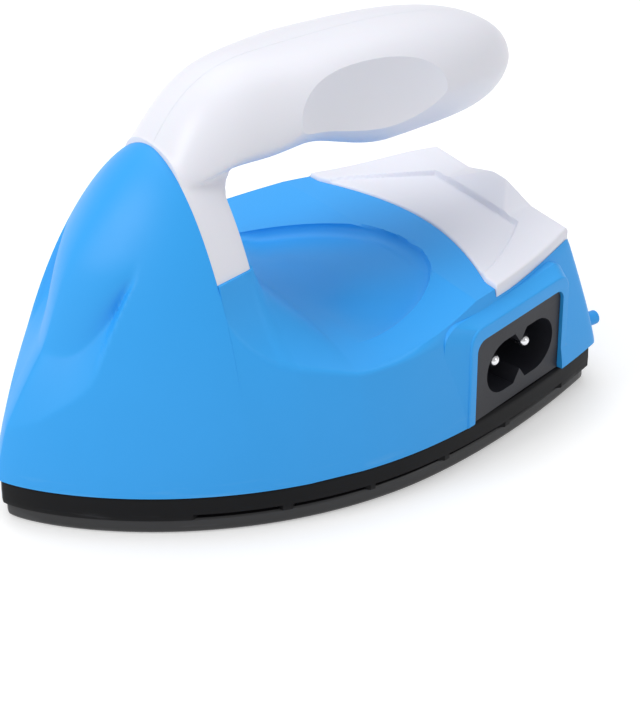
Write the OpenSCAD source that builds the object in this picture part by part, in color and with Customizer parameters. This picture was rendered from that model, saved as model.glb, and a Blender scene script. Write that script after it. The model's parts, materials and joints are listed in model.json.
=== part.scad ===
// Mini handheld heat press: a palm-sized craft iron with a flat heated sole,
// a blue shell with a finger saddle, a white cantilever handle and a side inlet.
// The nose points to -X, the inlet is on the -Y side, and z = 0 is the sole's face.

/* [Sole plate] */
// Length of the sole plate from nose to tail
sole_length = 107; // [102:0.5:112]
// Width of the sole plate where it is widest
sole_width = 63.8; // [61:0.2:67]
// Width of the sole plate at its tail
tail_width = 43.2; // [40:0.2:47]
// Distance of the widest place behind the middle of the sole
widest_x = 6.5; // [3:0.5:10]
// Thickness of the sole plate
plate_t = 3; // [2.6:0.1:3.4]

/* [Skirt] */
// Height of the skirt's top edge above the table
skirt_top = 8; // [7.6:0.1:8.6]
// How far the skirt stands out past the sole plate
skirt_out = 0.7; // [0.4:0.1:0.9]
// Wall of the skirt
skirt_wall = 2.4; // [1.8:0.1:2.8]
// Height of the vent slots in the skirt's lower edge
vent_h = 1.2; // [0.8:0.1:1.6]
// Length of one vent slot
vent_length = 13.4; // [10:0.2:14]
// Distance from one vent slot to the next
vent_pitch = 15.3; // [15:0.1:16]

/* [Blue shell] */
// How far the shell stands out past the sole plate at its lower edge
shell_out = 1.35; // [1.2:0.05:1.8]
// Wall of the shell
shell_wall = 2; // [1.6:0.1:2.2]
// Height of the nose's peak
peak_z = 60.5; // [57:0.5:63]
// Place of the nose's rear edge, where the handle starts
arch_x = -23; // [-25:0.5:-21]
// Height of the finger deck at its lowest edge
deck_z = 26.2; // [25:0.2:27]
// Radius of the saddle's sweep from the deck up to the handle
saddle_r = 21; // [19:0.5:23]
// Height of the seat under the handle's two legs
leg_seat_z = 43.5; // [42.5:0.5:44]
// Depth of the crescent recess in the deck
crescent_depth = 1.6; // [0.8:0.1:2]
// Radius of the two stand pegs on the tail
peg_r = 1.3; // [1:0.1:1.6]
// Distance between the two stand pegs
peg_spacing = 36.8; // [34:0.2:38]

/* [Handle] */
// Height of the handle's highest point
handle_top = 72.2; // [70:0.1:75]
// Place of the handle's rear end
handle_end_x = 48.6; // [47:0.1:50]
// Greatest width of the handle
handle_width = 26.2; // [24:0.2:28]
// Height of the grip's underside above the table
grip_z = 50.8; // [49.6:0.1:52]
// Wall of the handle
handle_wall = 2.2; // [1.8:0.1:2.6]
// Length of one leg of the handle root, along X
leg_depth = 7.5; // [6.6:0.1:8]
// Depth of the thumb dish in each side
dish_depth = 4.8; // [3:0.1:5]
// Length of the thumb dish
dish_length = 29; // [26:0.5:32]

/* [Rear cover] */
// Place of the cover's front edge on the centre line
cover_front_x = 32.2; // [31:0.2:34]
// Height of the cover's top at its rear edge
cover_top = 31; // [30.6:0.1:32]
// Height of the inlet-side wall of the cover at its rear
cover_side = 3.2; // [2.6:0.1:3.6]
// Height of the small hood at the rear
hood_h = 2.3; // [1.5:0.1:3.2]

/* [Inlet] */
// Diameter of one inlet pin
pin_d = 2.4; // [2.3:0.05:2.5]
// Diameter of a pin's root, where it passes through the inlet's back wall
pin_root_d = 2; // [1.6:0.1:2.2]
// Distance between the two pins
pin_spacing = 8.6; // [8.4:0.1:8.8]
// Radius of each lobe of the figure-8 cavity
lobe_r = 5; // [4.8:0.1:5.2]
// Depth of the cavity
cavity_depth = 11; // [10:0.5:12]
// How far the pin tips lie behind the inlet's face
pin_recess = 1.5; // [1.2:0.1:3]
// Turn of the inlet's face, following the body's side
inlet_turn = 14.4; // [14:0.1:15]
// Width of the inlet's face
inlet_w = 24; // [22:0.2:24.4]
// Height of the inlet's upper edge above the table
inlet_top = 24.2; // [23.6:0.1:24.6]

/* [Heater and fasteners] */
// Length of the row of heater tiles
heater_length = 30; // [24:1:32]
// Width of the heater tiles
heater_width = 14; // [12:0.5:15]
// Thickness of the heater tiles
heater_t = 2.4; // [2:0.1:2.8]
// Thickness of each electrode and of each insulating sheet
foil_t = 0.4; // [0.3:0.05:0.5]
// Radius of the screws' threads
screw_r = 1.25; // [1.1:0.05:1.4]
// Radius of an internal lead over its insulation
lead_r = 0.9; // [0.7:0.05:1]

/* [Hidden] */
$fn = 32;

gap = 0.1;                 // clearance between pieces that slot together
eps = 0.01;                // overlap that joins features of one solid
far = 80;                  // longer than anything a cutter has to clear
nose_power = 0.775;        // bluntness of the outline's nose
tail_power = 1.76;         // how late the outline narrows towards the tail
tip_growth = 1.15;         // how much further the pointed nose moves when the outline grows
nose_lean = 1.38;          // curve of the nose's front profile
arch_power = 1.83;         // curve of the nose's rear arch
plan_steps = 30;           // outline points on each side
skirt_step = 0.8;          // height of the plate's rounded rim
tail_lean = 4.6 / 22;      // how much the shell's tail leans forward for each mm of height
side_draft = 0.05;         // share of the width that the side wall loses by the deck's height
tail_draft = 0.17;         // further share lost at the tail
crown = 1.8;               // rise of the deck from its edges to its middle
deck_rise = 2.6;           // rise of the deck towards the rear cover
deck_rise_from = 2;        // where that rise starts
deck_rise_run = 20;        // length of that rise
deck_tilt = 0.55;          // extra share of that rise on the inlet side
crescent_a = 29;           // half length of the crescent's ellipse
crescent_b = 23.5;         // half width of the crescent's ellipse

// ---- helpers ----

function clamp01(t) = min(1, max(0, t));
function ease(a, b, x) = let (t = clamp01((x - a) / (b - a))) t * t * (3 - 2 * t);
function mix(a, b, t) = a + (b - a) * t;

// Closed solid through a stack of rings with the same number of points
module loft(rings) {
    n = len(rings[0]);
    m = len(rings);
    points = [for (ring = rings) each ring];
    sides = [
        for (i = [0 : m - 2], j = [0 : n - 1])
            let (a = i * n + j, b = i * n + (j + 1) % n, c = a + n, d = b + n)
            each [[a, c, d], [a, d, b]]
    ];
    first = [for (j = [0 : n - 1]) j];
    last = [for (j = [n - 1 : -1 : 0]) (m - 1) * n + j];
    polyhedron(points, concat([first], sides, [last]));
}

// Closed solid between two grids of points with the same number of rows and columns
module slab(low, high) {
    m = len(low);
    n = len(low[0]);
    points = concat([for (row = low) each row], [for (row = high) each row]);
    sheets = [
        for (i = [0 : m - 2], j = [0 : n - 2])
            let (a = i * n + j, b = a + m * n)
            each [[a, a + n, a + n + 1], [a, a + n + 1, a + 1], [b, b + n + 1, b + n], [b, b + 1, b + n + 1]]
    ];
    rim = concat(
        [for (j = [0 : n - 1]) j],
        [for (i = [1 : m - 1]) i * n + n - 1],
        [for (j = [n - 2 : -1 : 0]) (m - 1) * n + j],
        [for (i = [m - 2 : -1 : 1]) i * n]
    );
    count = len(rim);
    walls = [
        for (k = [0 : count - 1])
            let (a = rim[k], b = rim[(k + 1) % count])
            each [[a, b + m * n, a + m * n], [a, b, b + m * n]]
    ];
    polyhedron(points, concat(sheets, walls));
}

// Self-tapping screw with a pan head, its head's underside at z = 0, pointing down
module screw(r, length, head_r, head_h) {
    translate([0, 0, -length]) cylinder(r = r, h = length + eps);
    difference() {
        cylinder(r = head_r, h = head_h);
        for (turn = [0, 90])
            rotate([0, 0, turn]) translate([-head_r * 0.6, -0.3, head_h - 0.6])
                cube([head_r * 1.2, 0.6, 1]);
    }
}

// ---- outline of the sole, seen from above ----

nose_x = -sole_length / 2;
tail_x = sole_length / 2;

// Half width of the outline at x when it is grown outwards by g
function plan_half(x, g = 0) =
    let (tip = nose_x - tip_growth * g, back = tail_x + g, half = sole_width / 2 + g)
    x < widest_x
        ? let (u = clamp01((x - tip) / (widest_x - tip))) half * pow(1 - pow(1 - u, 2), nose_power)
        : let (v = clamp01((x - widest_x) / (back - widest_x)))
            half - (sole_width - tail_width) / 2 * pow(v, tail_power);

// Outline points, counter-clockwise from the nose
function plan_points(g) =
    let (tip = nose_x - tip_growth * g, back = tail_x + g)
    let (xs = [for (i = [0 : plan_steps]) mix(tip, back, pow(i / plan_steps, 1.6))])
    concat(
        [[tip, 0]],
        [for (i = [1 : plan_steps]) [xs[i], -plan_half(xs[i], g)]],
        [for (i = [plan_steps : -1 : 1]) [xs[i], plan_half(xs[i], g)]]
    );

module plan_prism(g, z0, z1) {
    translate([0, 0, z0]) linear_extrude(height = z1 - z0) polygon(plan_points(g));
}

// ---- envelope of the blue shell, before the saddle is cut out of it ----

shell_nose_x = nose_x - tip_growth * shell_out;

function rise(z, inset) = clamp01((z - skirt_top) / (peak_z - inset - skirt_top));
function level_nose_x(z, inset) =
    let (tip = shell_nose_x + 1.5 * inset)
    arch_x - (arch_x - tip) * pow(1 - pow(rise(z, inset), nose_lean), 1 / nose_lean);
function level_tail_x(z, inset) = tail_x + shell_out - inset - tail_lean * max(0, z - skirt_top);
function arch_share(z, inset) = pow(1 - pow(rise(z, inset), arch_power), 1 / arch_power);
function wall_share(x, z) =
    let (v = clamp01((x - widest_x) / (tail_x - widest_x)), h = max(0, z - skirt_top) / 19)
    1 - (side_draft + tail_draft * v * v) * pow(h, 1.35);

// Half width of the shell at x and height z
function shell_half(x, z, inset = 0) =
    let (tip = shell_nose_x + 1.5 * inset, nose = level_nose_x(z, inset))
    let (at = x < arch_x ? arch_x - (arch_x - tip) * (arch_x - x) / max(0.001, arch_x - nose) : x)
    let (base = plan_half(at, shell_out - inset), rear = plan_half(arch_x, shell_out - inset))
    let (u = clamp01(1 - (arch_x - x) / max(0.001, arch_x - nose)))
    let (round_off = x < arch_x ? 0.45 * ease(0.15, 0.95, rise(z, inset)) : 0)
    mix(base, rear * sqrt(1 - pow(1 - u, 2)), round_off)
        * mix(arch_share(z, inset), wall_share(x, z), ease(arch_x, -2, x));

nose_steps = 9;
neck_steps = 7;            // stations between the arch and the widest place
side_steps = 8;
function level_xs(z, inset) =
    let (nose = level_nose_x(z, inset), back = level_tail_x(z, inset))
    concat(
        [for (i = [1 : nose_steps]) mix(nose, arch_x, pow(i / nose_steps, 1.5))],
        [for (i = [1 : neck_steps]) mix(arch_x, -2, i / neck_steps)],
        [for (i = [1 : side_steps]) mix(-2, back, i / side_steps)]
    );
function level_ring(z, inset) =
    let (xs = level_xs(z, inset), n = len(xs))
    concat(
        [[level_nose_x(z, inset), 0, z]],
        [for (i = [0 : n - 1]) [xs[i], -shell_half(xs[i], z, inset), z]],
        [for (i = [n - 1 : -1 : 0]) [xs[i], shell_half(xs[i], z, inset), z]]
    );
module envelope(inset, z0, levels) {
    top = peak_z - inset - 0.15;
    loft([for (i = [0 : levels]) level_ring(mix(z0, top, sin(90 * i / levels)), inset)]);
}

// ---- the finger space above the deck ----

leg_rear_x = arch_x + leg_depth;
leg_half = plan_half(arch_x, shell_out) * arch_share(leg_seat_z, 0);
leg_turn = 1.5;            // how much narrower the legs stand at their rear
foot_r = 2;                // rounding of the legs' footprint

function deck_height(x, y) =
    let (back = clamp01((x - deck_rise_from) / deck_rise_run))
    let (rho = norm([x / crescent_a, y / crescent_b]), fade = ease(0, 0.5, x / max(1, norm([x, y]))))
    deck_z + crown * (1 - pow(clamp01(abs(y) / 30), 2)) * (1 - 0.5 * back)
        + deck_rise * pow(back, 1.5) * (1 - deck_tilt * y / 30)
        - crescent_depth * fade * ease(1, 0.9, rho) * ease(0.4, 0.9, rho);
function saddle_lift(d) =
    let (s = saddle_r - min(d, saddle_r)) saddle_r - sqrt(pow(saddle_r, 2) - s * s);

// Stations round the legs' footprint: a point and the outward direction there
corner_x = leg_rear_x - foot_r;
corner_y = leg_half - leg_turn - foot_r;
foot_side = [for (i = [0 : 2]) let (t = i / 3)
    [[mix(arch_x, corner_x, t), mix(leg_half, corner_y + foot_r, t)], [0, 1]]];
foot_corner = [for (a = [90 : -15 : 0])
    [[corner_x + foot_r * cos(a), corner_y + foot_r * sin(a)], [cos(a), sin(a)]]];
foot_rear = [for (i = [1 : 4]) [[leg_rear_x, corner_y * (1 - i / 4)], [1, 0]]];
foot_half = concat(foot_side, foot_corner, foot_rear);
foot = concat(
    [for (s = foot_half) [[s[0][0], -s[0][1]], [s[1][0], -s[1][1]]]],
    [for (i = [len(foot_half) - 2 : -1 : 0]) foot_half[i]]
);
fall = 0.0001;             // slight outward fall of the deck, so that no rows of the cutter line up
saddle_rows = [0.36, 1, 2, 3.4, 5.4, 8, 11.4, 16, 21, 26, 31, 35, 37.5, 41, 60, 90];

function saddle_point(s, d) =
    let (x = s[0][0] + d * s[1][0], y = s[0][1] + d * s[1][1])
    [x, y, d == saddle_rows[0] ? leg_seat_z :
        min(leg_seat_z - 0.02, deck_height(x, y) + saddle_lift(d)) - fall * d * d];

module saddle_cutter() {
    n = len(foot);
    m = len(saddle_rows);
    bottom = [for (d = saddle_rows, s = foot) saddle_point(s, d)];
    top = [for (s = foot) let (p = saddle_point(s, saddle_rows[m - 1])) [p[0], p[1], far]];
    seat = (m + 1) * n;
    inner = [for (j = [0 : n - 1]) [seat, j, (j + 1) % n]];
    grid = [for (i = [0 : m - 2], j = [0 : n - 2]) let (a = i * n + j)
        each [[a, a + n, a + n + 1], [a, a + n + 1, a + 1]]];
    outer = [for (j = [0 : n - 2]) let (a = (m - 1) * n + j, t = m * n + j)
        each [[a, t, t + 1], [a, t + 1, a + 1]]];
    lid = [for (j = [0 : n - 1]) [seat + 1, m * n + (j + 1) % n, m * n + j]];
    front = concat(
        [for (i = [0 : m - 1]) i * n + n - 1],
        [m * n + n - 1, m * n],
        [for (i = [m - 1 : -1 : 0]) i * n]
    );
    middle = [[arch_x + 3, 0, leg_seat_z], [arch_x + 3, 0, far]];
    polyhedron(concat(bottom, top, middle), concat(inner, grid, outer, lid, [front]));
}

// ---- rear cover's sheet ----

cover_bow = 0.0088;        // how much the cover's front edge bows back per square mm of half width
cover_reach = 27.6;        // half width of the cover's front edge
edge_turn_y = 24.3;        // where that edge turns straight towards the side
cover_tail_x = level_tail_x(cover_top, 0) - 0.3;
cover_thin = 1.8;          // height of the cover's side wall at its front end
far_drop = 2.6;            // how much lower the cover's far front corner lies
cover_lip = 0.8;           // how far the cover's front edge stands above the deck
panel_step = 1;            // height of the border round the inner panel, at the rear
panel_run = 15.8;          // length of that panel along X
hood_half = 8.9;           // half width of the hood
hood_run = 6.2;            // length of the hood's slanted front face

function cover_front(y) = cover_front_x - cover_bow * pow(min(edge_turn_y, abs(y)), 2);
function cover_side_half(x) = shell_half(x, cover_top - 1.5) - 0.1;
function cover_xy(u, v, grow) =
    let (x0 = cover_front(v * cover_reach) - grow, x = mix(x0, cover_tail_x + grow, u))
    [x, v * (cover_side_half(x) + grow)];
function cover_base(x, y) =
    let (t = clamp01((x - cover_front_x + 6) / (cover_tail_x - cover_front_x + 6)))
    let (near = mix(cover_top - 0.3 - cover_thin, cover_top - cover_side, t))
    near - far_drop * (1 - t) * clamp01((y + 26) / 52);
function cover_skin(x, y) =
    let (t = clamp01((x - cover_front_x + 6) / (cover_tail_x - cover_front_x + 6)))
    let (back = clamp01((x - cover_front(y)) / (cover_tail_x - cover_front(y))))
    let (lip = deck_height(x, y) + cover_lip - cover_base(x, y))
    let (side = mix(lip, mix(cover_thin, cover_side, t), ease(0, 0.8, back)))
    let (border = edge_turn_y - 1.5 - 10.8 * pow(clamp01((x - cover_front_x + 3.7) / panel_run), 1.25))
    let (panel = ease(0, 1.2, border - abs(y)) * ease(0, 1.2, cover_front_x - 3.7 + panel_run - x))
    let (hood = min(clamp01((x - cover_tail_x + hood_run) / hood_run), clamp01((hood_half - abs(y)) / 7.4)))
    cover_base(x, y) + side - panel_step * mix(0.4, 1, t) * panel + hood_h * hood;

plug_h = 4;                // length of the cover's snap plugs
screw_bore = 2.6;          // radius of the bores over the shell's screws
cover_rows = 13;
cover_cols = 18;
function cover_grid(grow, rows) = [for (i = [0 : rows])
    [for (j = [0 : cover_cols]) cover_xy(i / rows, 2 * j / cover_cols - 1, grow)]];

// Space above the cover's base, moved by low, up to a flat top
module cover_space(grow, low) {
    grid = cover_grid(grow, 6);
    slab([for (row = grid) [for (p = row) [p[0], p[1], cover_base(p[0], p[1]) + low]]],
        [for (row = grid) [for (p = row) [p[0], p[1], far]]]);
}
module cover_sheet() {
    grid = cover_grid(0, cover_rows);
    slab([for (row = grid) [for (p = row) [p[0], p[1], cover_base(p[0], p[1])]]],
        [for (row = grid) [for (p = row) [p[0], p[1], cover_skin(p[0], p[1])]]]);
}

// ---- inlet ----

inlet_at = [32.2, -28.5];  // middle of the inlet's face
cavity_z = 15.8;           // height of the pins
inlet_h = inlet_top - skirt_top;
inlet_depth = cavity_depth + 2.2;
inlet_shift = -0.8;        // how far the face's middle lies from the middle of the pins
surround_w = inlet_w + 3.6;
surround_top = 27;
surround_out = 0.6;
notch_depth = 2.3;
notch_half = 1.7;

module at_inlet() {
    translate([inlet_at[0], inlet_at[1], 0]) rotate([0, 0, inlet_turn]) children();
}

// Upright face with its two upper corners rounded, standing in the XZ plane, extruded to +Y
module arched_block(w, z0, z1, r, depth) {
    translate([0, depth, 0]) rotate([90, 0, 0]) linear_extrude(height = depth) {
        translate([-w / 2, z0]) square([w, z1 - z0 - r]);
        translate([-w / 2 + r, z0]) square([w - 2 * r, z1 - z0]);
        for (x = [-1, 1]) translate([x * (w / 2 - r), z1 - r]) circle(r = r);
    }
}

module inlet_housing() {
    color([0.2, 0.2, 0.24]) at_inlet() difference() {
        translate([inlet_shift, 0, 0]) arched_block(inlet_w, skirt_top + gap, inlet_top, 2, inlet_depth);
        translate([0, cavity_depth, cavity_z]) rotate([90, 0, 0])
            linear_extrude(height = cavity_depth + 1) difference() {
                union() {
                    for (x = [-1, 1]) translate([x * pin_spacing / 2, 0]) circle(r = lobe_r, $fn = 48);
                    square([pin_spacing, 2 * lobe_r], center = true);
                }
                for (s = [-1, 1])
                    polygon([[-notch_half, s * (lobe_r + 0.1)], [notch_half, s * (lobe_r + 0.1)],
                        [0, s * (lobe_r - notch_depth)]]);
            }
        for (x = [-1, 1])
            translate([x * pin_spacing / 2, cavity_depth - 1, cavity_z]) rotate([-90, 0, 0])
                cylinder(d = pin_root_d, h = inlet_depth);
    }
}

module inlet_pin(side) {
    color([0.8, 0.8, 0.82]) at_inlet()
        translate([side * pin_spacing / 2, 0, cavity_z]) rotate([-90, 0, 0]) {
            translate([0, 0, pin_recess + pin_d / 2])
                cylinder(d = pin_d, h = cavity_depth - pin_recess - pin_d / 2);
            translate([0, 0, cavity_depth - 1])
                cylinder(d = pin_root_d, h = inlet_depth - cavity_depth + 1 + tab_t);
            translate([0, 0, pin_recess + pin_d / 2]) intersection() {
                sphere(d = pin_d);
                translate([0, 0, -pin_d]) cylinder(d = 2 * pin_d, h = pin_d + eps);
            }
        }
}
module inlet_pin_front() { inlet_pin(-1); }
module inlet_pin_rear() { inlet_pin(1); }

tab_t = 0.6;
tab_w = 3.4;
tab_l = 5;
module inlet_tabs() {
    color([0.8, 0.66, 0.3]) at_inlet()
        for (x = [-1, 1])
            translate([x * pin_spacing / 2, inlet_depth, cavity_z]) {
                difference() {
                    translate([-tab_w / 2, 0, -tab_w / 2]) cube([tab_w, tab_t, tab_w]);
                    rotate([-90, 0, 0]) translate([0, 0, -1]) cylinder(d = pin_root_d, h = 3);
                }
                translate([-tab_w / 2, tab_t - eps, -tab_w / 2]) cube([tab_w, tab_l, tab_t]);
            }
}

// ---- base ----

plate_boss_at = [[-31, -9], [-31, 9], [47, -14], [47, 14]];
shell_post_at = [[42, -8], [42, 8]];
shield_ear_at = [[13, -22], [13, 22]];
boss_r = 3.4;
boss_top = skirt_top - 2;
post_z = boss_top + 6;     // where the shell's posts meet the skirt's
stack_t = heater_t + 4 * foil_t;
clamp_z = plate_t + stack_t;
heater_x = -9;             // middle of the heater
clamp_reach = heater_width / 2 + 4;
clamp_xs = [heater_x - heater_length / 4, heater_x + heater_length / 4];
stat_x = 26;               // middle of the thermostat
stat_l = 18;
stat_w = 7.4;
stat_t = 3.8;
strap_reach = stat_w / 2 + 3.6;

module sole_plate() {
    color([0.12, 0.12, 0.13]) {
        difference() {
            union() {
                plan_prism(-skirt_step / 2, 0, skirt_step / 2 + eps);
                plan_prism(0, skirt_step / 2, plate_t);
                for (p = plate_boss_at) translate([p[0], p[1], plate_t - eps])
                    cylinder(r = boss_r, h = boss_top - plate_t + eps);
                for (x = clamp_xs, s = [-1, 1]) translate([x, s * clamp_reach, plate_t - eps])
                    cylinder(r = 2.6, h = stack_t + eps);
                for (s = [-1, 1]) translate([stat_x, s * strap_reach, plate_t - eps])
                    cylinder(r = 2.4, h = stat_t + eps);
            }
            for (p = plate_boss_at) translate([p[0], p[1], 1]) cylinder(r = screw_r, h = 20);
            for (x = clamp_xs, s = [-1, 1]) translate([x, s * clamp_reach, 1.4]) cylinder(r = screw_r, h = 20);
            for (s = [-1, 1]) translate([stat_x, s * strap_reach, 1.4]) cylinder(r = screw_r, h = 20);
        }
    }
}

vent_from = -31;
vent_count = 5;
lip_h = 1.8;
lip_t = 1.2;
vent_inner = 9;            // where the vent slots' cutters start, inside the skirt's wall
ear_t = 2;

// Flat rib of width w from the point x, y out into the skirt's wall
module skirt_rib(x, y, w) {
    reach = min(plan_half(x - w / 2), plan_half(x + w / 2)) - 0.4;
    translate([x - w / 2, y > 0 ? y : -reach, boss_top]) cube([w, reach - abs(y), ear_t]);
}

// Ear with its rib; a deep one gives a screw more thread
module skirt_ear(x, y, deep) {
    translate([x, y, boss_top - deep]) cylinder(r = 4.2, h = ear_t + deep);
    skirt_rib(x, y, 6);
}

module base_skirt() {
    color([0.09, 0.09, 0.1]) difference() {
        union() {
            difference() {
                plan_prism(skirt_out, plate_t, skirt_top);
                plan_prism(skirt_out - skirt_wall, plate_t - 1, skirt_top + 1);
            }
            difference() {
                plan_prism(shell_out - shell_wall - gap, skirt_top - ear_t, skirt_top + lip_h);
                plan_prism(shell_out - shell_wall - gap - lip_t, skirt_top - ear_t - 1, skirt_top + lip_h + 1);
                at_inlet() translate([inlet_shift - inlet_w / 2 - gap, -2, skirt_top])
                    cube([inlet_w + 2 * gap, 2 * inlet_depth, lip_h + 2]);
            }
            for (p = plate_boss_at) skirt_ear(p[0], p[1], 0);
            for (p = shield_ear_at) skirt_ear(p[0], p[1], 1);
            for (p = shell_post_at) {
                skirt_rib(p[0], p[1], 7);
                skirt_rib(p[0], -sign(p[1]) * 0.01, 7);
                translate([p[0], p[1], boss_top]) cylinder(r = 3.4, h = post_z - boss_top);
            }
        }
        for (p = plate_boss_at) translate([p[0], p[1], 0]) cylinder(r = screw_r + 0.15, h = 20);
        for (p = shield_ear_at) translate([p[0], p[1], 0]) cylinder(r = screw_r, h = 20);
        for (p = shell_post_at) translate([p[0], p[1], boss_top + 0.8]) cylinder(r = screw_r, h = 20);
        for (i = [0 : vent_count - 1], s = [-1, 1])
            translate([vent_from + i * vent_pitch, s > 0 ? vent_inner : -far, plate_t - 1])
                cube([vent_length, far - vent_inner, 1 + vent_h]);
    }
}

// ---- blue shell ----

post_r = 3.6;
peg_reach = 58.2;
peg_z = 9.6;
scoop_depth = 1.4;

// The moulded skin with its inlet surround and screw posts, before it is drilled
module shell_skin() {
    difference() {
        union() {
            difference() {
                envelope(0, skirt_top, 18);
                saddle_cutter();
                difference() {
                    envelope(shell_wall, skirt_top - 1, 10);
                    translate([-shell_wall, 0, -shell_wall]) saddle_cutter();
                    cover_space(1, -shell_wall);
                }
            }
            at_inlet() translate([inlet_shift, -surround_out, 0])
                arched_block(surround_w, skirt_top, surround_top, 3, 6);
            for (p = shell_post_at) translate([p[0], p[1], post_z])
                cylinder(r = post_r, h = cover_base(p[0], p[1]) - post_z - 0.5);
        }
        cover_space(gap, 0);
        at_inlet() translate([inlet_shift, -2, 0])
            arched_block(inlet_w + 2 * gap, skirt_top - 1, inlet_top + gap, 2, 20);
    }
}

module body_shell() {
    color([0.27, 0.66, 0.97]) difference() {
        union() {
            // one continuous surface, kept at its own size
            resize([0, 0, 0]) shell_skin();
            for (s = [-1, 1]) translate([level_tail_x(peg_z, 0) - 1, s * peg_spacing / 2, peg_z])
                rotate([0, 90, 0])
                cylinder(r = peg_r, h = peg_reach - level_tail_x(peg_z, 0) + 1);
        }
        for (p = shell_post_at) {
            translate([p[0], p[1], post_z - 1]) cylinder(r = screw_r + 0.2, h = 30);
            translate([p[0], p[1], post_z + 2]) cylinder(r = screw_bore, h = 30);
        }
        for (s = [-1, 1]) translate([handle_screw_x, s * handle_screw_y, leg_seat_z - 5])
            cylinder(r = screw_r + 0.2, h = 10);
    }
}

// ---- rear cover ----

module rear_cover() {
    color([0.93, 0.93, 0.97]) {
        cover_sheet();
        for (p = shell_post_at) translate([p[0], p[1], cover_base(p[0], p[1]) - plug_h])
            cylinder(r = screw_bore - gap, h = plug_h + 1);
    }
}

// ---- handle ----

handle_screw_x = arch_x + 2.9;
handle_screw_y = 12;
top_flat_x = 0.5;          // where the handle is highest
grip_low_x = 29;           // where the grip's underside is lowest
neck_z = 55.2;             // underside of the neck behind the root
end_z = 58.8;              // height of the rear end's tip
crown_share = 0.48;        // share of the section above its widest line
neck_share = 0.7;          // the same at the neck
flare_r = 4;               // radius of the hollow between the root and the neck
root_narrow = 4.5;         // how much narrower each side of the handle is at its root
dish_x = 12.7;
dish_r = (pow(dish_length / 2, 2) + dish_depth * dish_depth) / 2 / dish_depth;
dowel_at = [[-6, 63.5], [37, 60]];
dowel_r = 1.5;
dowel_reach = 7;

function arm_top(x) =
    x < top_flat_x
        ? handle_top - (handle_top - peak_z - 0.2) * pow(1 - clamp01((x - arch_x) / (top_flat_x - arch_x)), 3.3)
        : let (v = clamp01((x - top_flat_x) / (handle_end_x - top_flat_x)))
            handle_top - (handle_top - end_z) * (1 - sqrt(1 - pow(v, 2.9)));
function arm_bottom(x) =
    let (v = clamp01((x - grip_low_x) / (handle_end_x - grip_low_x)))
    grip_z + (neck_z - grip_z) * (1 - ease(0, 19, x)) + (end_z - 0.4 - grip_z) * (1 - sqrt(1 - pow(v, 3.2)));
function arm_half(x) =
    let (s = clamp01((x - arch_x) / 37), v = clamp01((x - 9) / (handle_end_x - 9)))
    (handle_width / 2 - root_narrow * pow(1 - s, 3)) * sqrt(1 - pow(v, 2.75));
// Half width left by an upright round scoop in each side
function dish_half(x) =
    let (d = min(dish_r, abs(x - dish_x)))
    handle_width / 2 - dish_depth + dish_r - sqrt(dish_r * dish_r - d * d);
function neck_to_crown(x) =
    mix(0.9, neck_share, ease(arch_x, arch_x + 12, x)) + (crown_share - neck_share) * ease(-8, 6, x);

arm_sides = 34;
function arm_ring(x, inset) =
    let (t = arm_top(x) - inset, b = arm_bottom(x) + inset, w = max(0.3, arm_half(x) - inset))
    let (c = neck_to_crown(x) * (t - b), mid = t - c)
    [for (j = [0 : arm_sides - 1])
        let (a = 360 * (j + 0.5) / arm_sides, sn = sin(a), cs = cos(a))
        let (y = w * sign(cs) * pow(abs(cs), sn > 0 ? 0.8 : 0.72) * (sn > 0 ? 1 : 1 + 0.12 * sn))
        let (z = sn > 0 ? mid + c * pow(sn, 1.25) : mid - (mid - b) * pow(-sn, 1.1))
        [x, sign(y) * min(abs(y), dish_half(x) - inset), z]];
module arm(inset, x0, x1, steps) {
    loft([for (i = [0 : steps]) arm_ring(mix(x0, x1, 1 - pow(1 - i / steps, 1.5)), inset)]);
}

root_steps = 16;
function flare(z) = flare_r - sqrt(flare_r * flare_r - pow(min(flare_r, max(0, z - neck_z + flare_r)), 2));
function root_sheet(x, turn, flared, inset) =
    let (low = leg_seat_z - (inset > 0 ? 1 : 0), top = peak_z - inset - 0.1)
    let (zs = [for (i = [0 : root_steps]) mix(low, top, sin(90 * i / root_steps))])
    [for (v = [-1, -0.6, 0, 0.6, 1]) [for (z = zs)
        let (half = max(0.2, plan_half(arch_x, shell_out) * arch_share(z, inset) - turn - inset))
        [x + flared * flare(z), v * half, z]]];
// Root of the handle between the arch's plane and its rear face, which curves back under the neck
module root_block(x0, x1, inset) {
    slab(root_sheet(x0, 0, 0, inset), root_sheet(x1, leg_turn, 1, inset));
}

// Hollow half of the handle on one side of the centre plane, before it is drilled
module handle_skin(side) {
    difference() {
        union() {
            arm(0, arch_x, handle_end_x - 0.15, 30);
            root_block(arch_x, leg_rear_x, 0);
        }
        difference() {
            union() {
                arm(handle_wall, arch_x + 3.5, handle_end_x - 3, 12);
                root_block(arch_x - 1, leg_rear_x - handle_wall, handle_wall);
            }
            for (s = [-1, 1]) translate([handle_screw_x, s * handle_screw_y, leg_seat_z]) {
                cylinder(r = 2.6, h = 8);
                translate([0, -2.6, 0]) cube([10, 5.2, 8]);
            }
            for (p = dowel_at) translate([p[0], -10.2, p[1]]) rotate([-90, 0, 0]) cylinder(r = 3, h = 20.4);
        }
        translate([-far, side > 0 ? -2 * far : 0, 0]) cube([2 * far, 2 * far, 2 * far]);
    }
}
module handle_half(side) {
    color([0.95, 0.95, 0.98]) difference() {
        // one continuous surface, kept at its own size
        resize([0, 0, 0]) handle_skin(side);
        translate([handle_screw_x, side * handle_screw_y, leg_seat_z - 1]) cylinder(r = screw_r, h = 7.5);
        for (p = dowel_at) translate([p[0], -dowel_reach, p[1]])
            rotate([-90, 0, 0]) cylinder(r = dowel_r, h = 2 * dowel_reach);
    }
}
module handle_near_half() { handle_half(-1); }
module handle_far_half() { handle_half(1); }
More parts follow.
